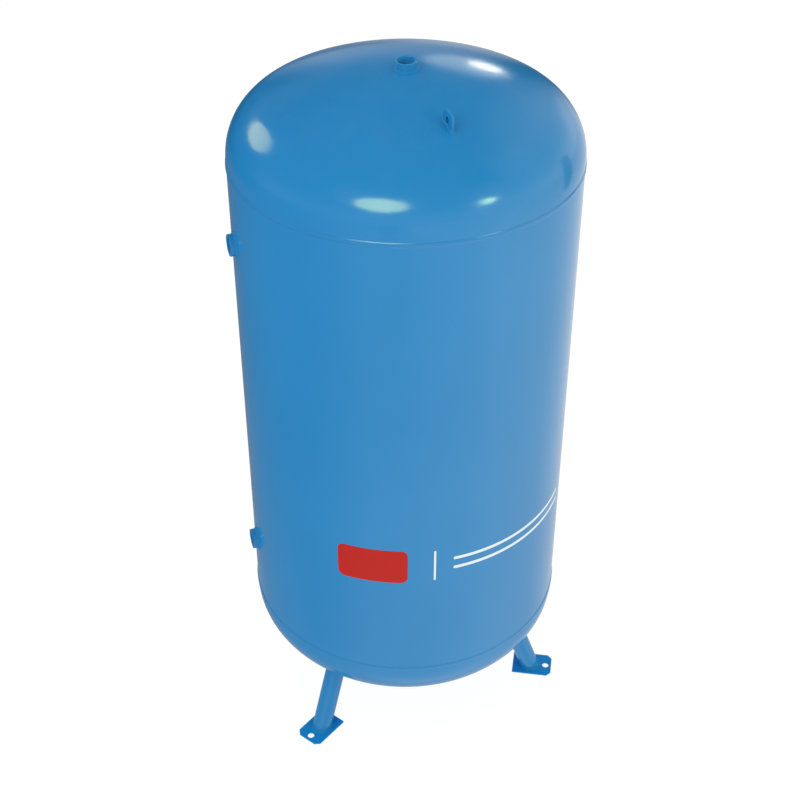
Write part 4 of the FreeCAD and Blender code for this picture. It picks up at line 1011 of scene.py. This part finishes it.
def studio_world():
    """White to the camera, even for diffuse rays, and a dim studio for glossy rays."""
    world = bpy.data.worlds.new("studio")
    bpy.context.scene.world = world
    graph = Graph(world, "OutputWorld")
    rays = graph.node("LightPath").outputs
    view = graph.node("TexCoord").outputs["Generated"]
    by_height = graph.grey_ramp(graph.remap(graph.height(view), span=(0.0, 1.0)), [
        (0.0, 0.62), (0.14, 0.60), (0.30, 0.24), (0.50, 0.10), (1.0, 0.08)])
    by_side = graph.grey_ramp(graph.remap(graph.dot(view, RIGHT), span=(-1.0, 1.0)), [
        (0.0, 0.55), (0.45, 0.75), (0.75, 1.0), (1.0, 1.05)])
    mirrored = graph.mix(by_height, by_side, mode="MULTIPLY")

    heading, slope = ray_parts(graph, view, sign=1.0)
    away = graph.dot(heading, AWAY)
    gaps = horizon_gaps(graph, graph.dot(heading, RIGHT), away,
                        graph.remap(slope, span=(0.36, 0.20)))
    mirrored = graph.mix(mirrored, gaps, mode="MULTIPLY")

    # two large soft panels on the right: centre, cosines of outer and inner edge, strength
    first, second = [
        graph.remap(graph.dot(view, direction(azimuth, elevation)), span=edges, to=(0, strength))
        for azimuth, elevation, edges, strength in (
            (2.0, 18.0, (0.70, 0.83), 1.0), (-42.0, 12.0, (0.80, 0.93), 0.9))]
    soft = graph.mix(grey(0.0), grey(0.56), factor=graph.math("MAXIMUM", first, second))
    mirrored = graph.mix(mirrored, soft, mode="ADD")
    # a faint lift on the camera's side
    near = graph.times(graph.remap(away, span=(-0.5, -0.95)),
                       graph.remap(slope, span=(0.93, 0.55)))
    lift = graph.mix(grey(0.0), grey(0.18), factor=near)
    mirrored = graph.mix(mirrored, lift, mode="ADD")

    ambient = graph.mix(grey(0.885), mirrored, factor=rays["Is Glossy Ray"])
    colour = graph.mix(ambient, grey(1.0), factor=rays["Is Camera Ray"])
    graph.surface(graph.node("Background", {"Color": colour}).outputs[0])


def softbox(name, at, azimuth, elevation, spread, radiance, diffuse, colour, distance=5.0):
    """Elliptic light seen from the point `at`; spread is its width and height in degrees."""
    axis = direction(azimuth, elevation)
    light = bpy.data.lights.new(name, "AREA")
    light.shape = "ELLIPSE"
    light.color = colour
    light.size = 2 * distance * math.tan(math.radians(spread[0] / 2))
    light.size_y = 2 * distance * math.tan(math.radians(spread[1] / 2))
    light.energy = radiance * math.pi * light.size * light.size_y
    ob = bpy.data.objects.new(name, light)
    bpy.context.scene.collection.objects.link(ob)
    ob.location = Vector(at) + axis * distance
    turn_to(ob, axis)
    ob.visible_diffuse = diffuse
    ob.visible_camera = False
    return ob


SOFTBOXES = (
    # name, point it is seen from, azimuth, elevation, spread, radiance, lights diffusely, colour
    ("front_box", (-0.253, -0.460, 2.286), -127.3, 29.3, (32, 23), 7.2, False,
     (0.79, 1.0, 0.34)),
    ("front_small_box", (0.034, -0.529, 2.276), -59.6, 18.8, (11, 9), 12.5, True,
     (0.66, 1.0, 0.48)),
    ("rear_left_box", (-0.470, -0.053, 2.344), 119.5, 24.5, (27, 21), 2.8, False,
     (1.0, 1.0, 0.40)),
    ("rear_right_lamp", (0.253, -0.032, 2.432), 57.2, 12.4, (6, 5), 6.3, False,
     (1.0, 0.97, 0.85)),
    ("rear_right_box", (0.253, -0.032, 2.432), 60.0, 15.0, (16, 14), 0.85, False,
     (1.0, 0.98, 0.8)),
)


def dark_flag():
    """Dark oval mirrored at the right of the top knuckle; only glossy rays see it."""
    knuckle_point = Vector((0.328, -0.430, 2.249))
    distance = 1.3
    axis = direction(azimuth=5.5, elevation=-6.5)
    bpy.ops.mesh.primitive_circle_add(vertices=64, radius=0.5, fill_type="NGON",
                                      location=knuckle_point + axis * distance)
    flag = bpy.context.object
    flag.name = "studio_flag"
    flag.scale = (0.28, 0.84, 1.0)
    turn_to(flag, axis)
    flag.visible_camera = False
    flag.visible_diffuse = False
    flag.visible_shadow = False
    flag.visible_transmission = False
    material, graph, place = new_material("studio_flag")
    cover = graph.remap(graph.noise(place, scale=1.5, detail=2.0), span=(0.2, 0.8),
                        to=(0.75, 0.95))
    clear = graph.node("BsdfTransparent").outputs[0]
    dark = graph.node("Emission", {"Strength": 0.12}).outputs[0]
    graph.surface(graph.mix_shader(cover, clear, dark))
    material.cycles.emission_sampling = "NONE"
    flag.data.materials.append(material)


def camera():
    distance = 7.30776 * RADIUS                  # horizontally from the vessel axis
    height = 4.23112
    pitch = 0.64040                              # downwards, radians
    pan = 0.0047                                 # to the left of the vessel axis, radians
    data = bpy.data.cameras.new("camera")
    ob = bpy.data.objects.new("camera", data)
    bpy.context.scene.collection.objects.link(ob)
    data.sensor_width = 36.0
    data.sensor_fit = "HORIZONTAL"
    data.lens = 65.281455
    data.shift_x = 0.0004575
    data.clip_start = 0.1
    data.clip_end = 200
    yaw = Matrix.Rotation(YAW, 3, "Z")
    right = yaw @ Vector((math.cos(pan), math.sin(pan), 0))
    ahead = yaw @ Vector((-math.sin(pan) * math.cos(pitch), math.cos(pan) * math.cos(pitch),
                          -math.sin(pitch)))
    up = yaw @ Vector((-math.sin(pan) * math.sin(pitch), math.cos(pan) * math.sin(pitch),
                       math.cos(pitch)))
    place = yaw @ Vector((0, -distance, 0)) + Vector((0, 0, height))
    ob.matrix_world = Matrix(((right.x, up.x, -ahead.x, place.x),
                              (right.y, up.y, -ahead.y, place.y),
                              (right.z, up.z, -ahead.z, place.z), (0, 0, 0, 1)))
    bpy.context.scene.camera = ob


bpy.ops.mesh.primitive_plane_add(size=60, location=(0, 0, -0.0005))
floor = bpy.context.object
floor.name = "studio_floor"
floor.data.materials.append(floor_material())
studio_world()
for row in SOFTBOXES:
    softbox(*row)
key = softbox("key", at=(0, 0, 1.4), azimuth=-150.0, elevation=42.0, spread=(18, 18),
              radiance=4.2, diffuse=True, colour=(1.0, 1.0, 1.0), distance=6.0)
key.visible_glossy = False
dark_flag()
camera()
bpy.context.scene.view_settings.view_transform = "Standard"
bpy.context.scene.view_settings.look = "None"
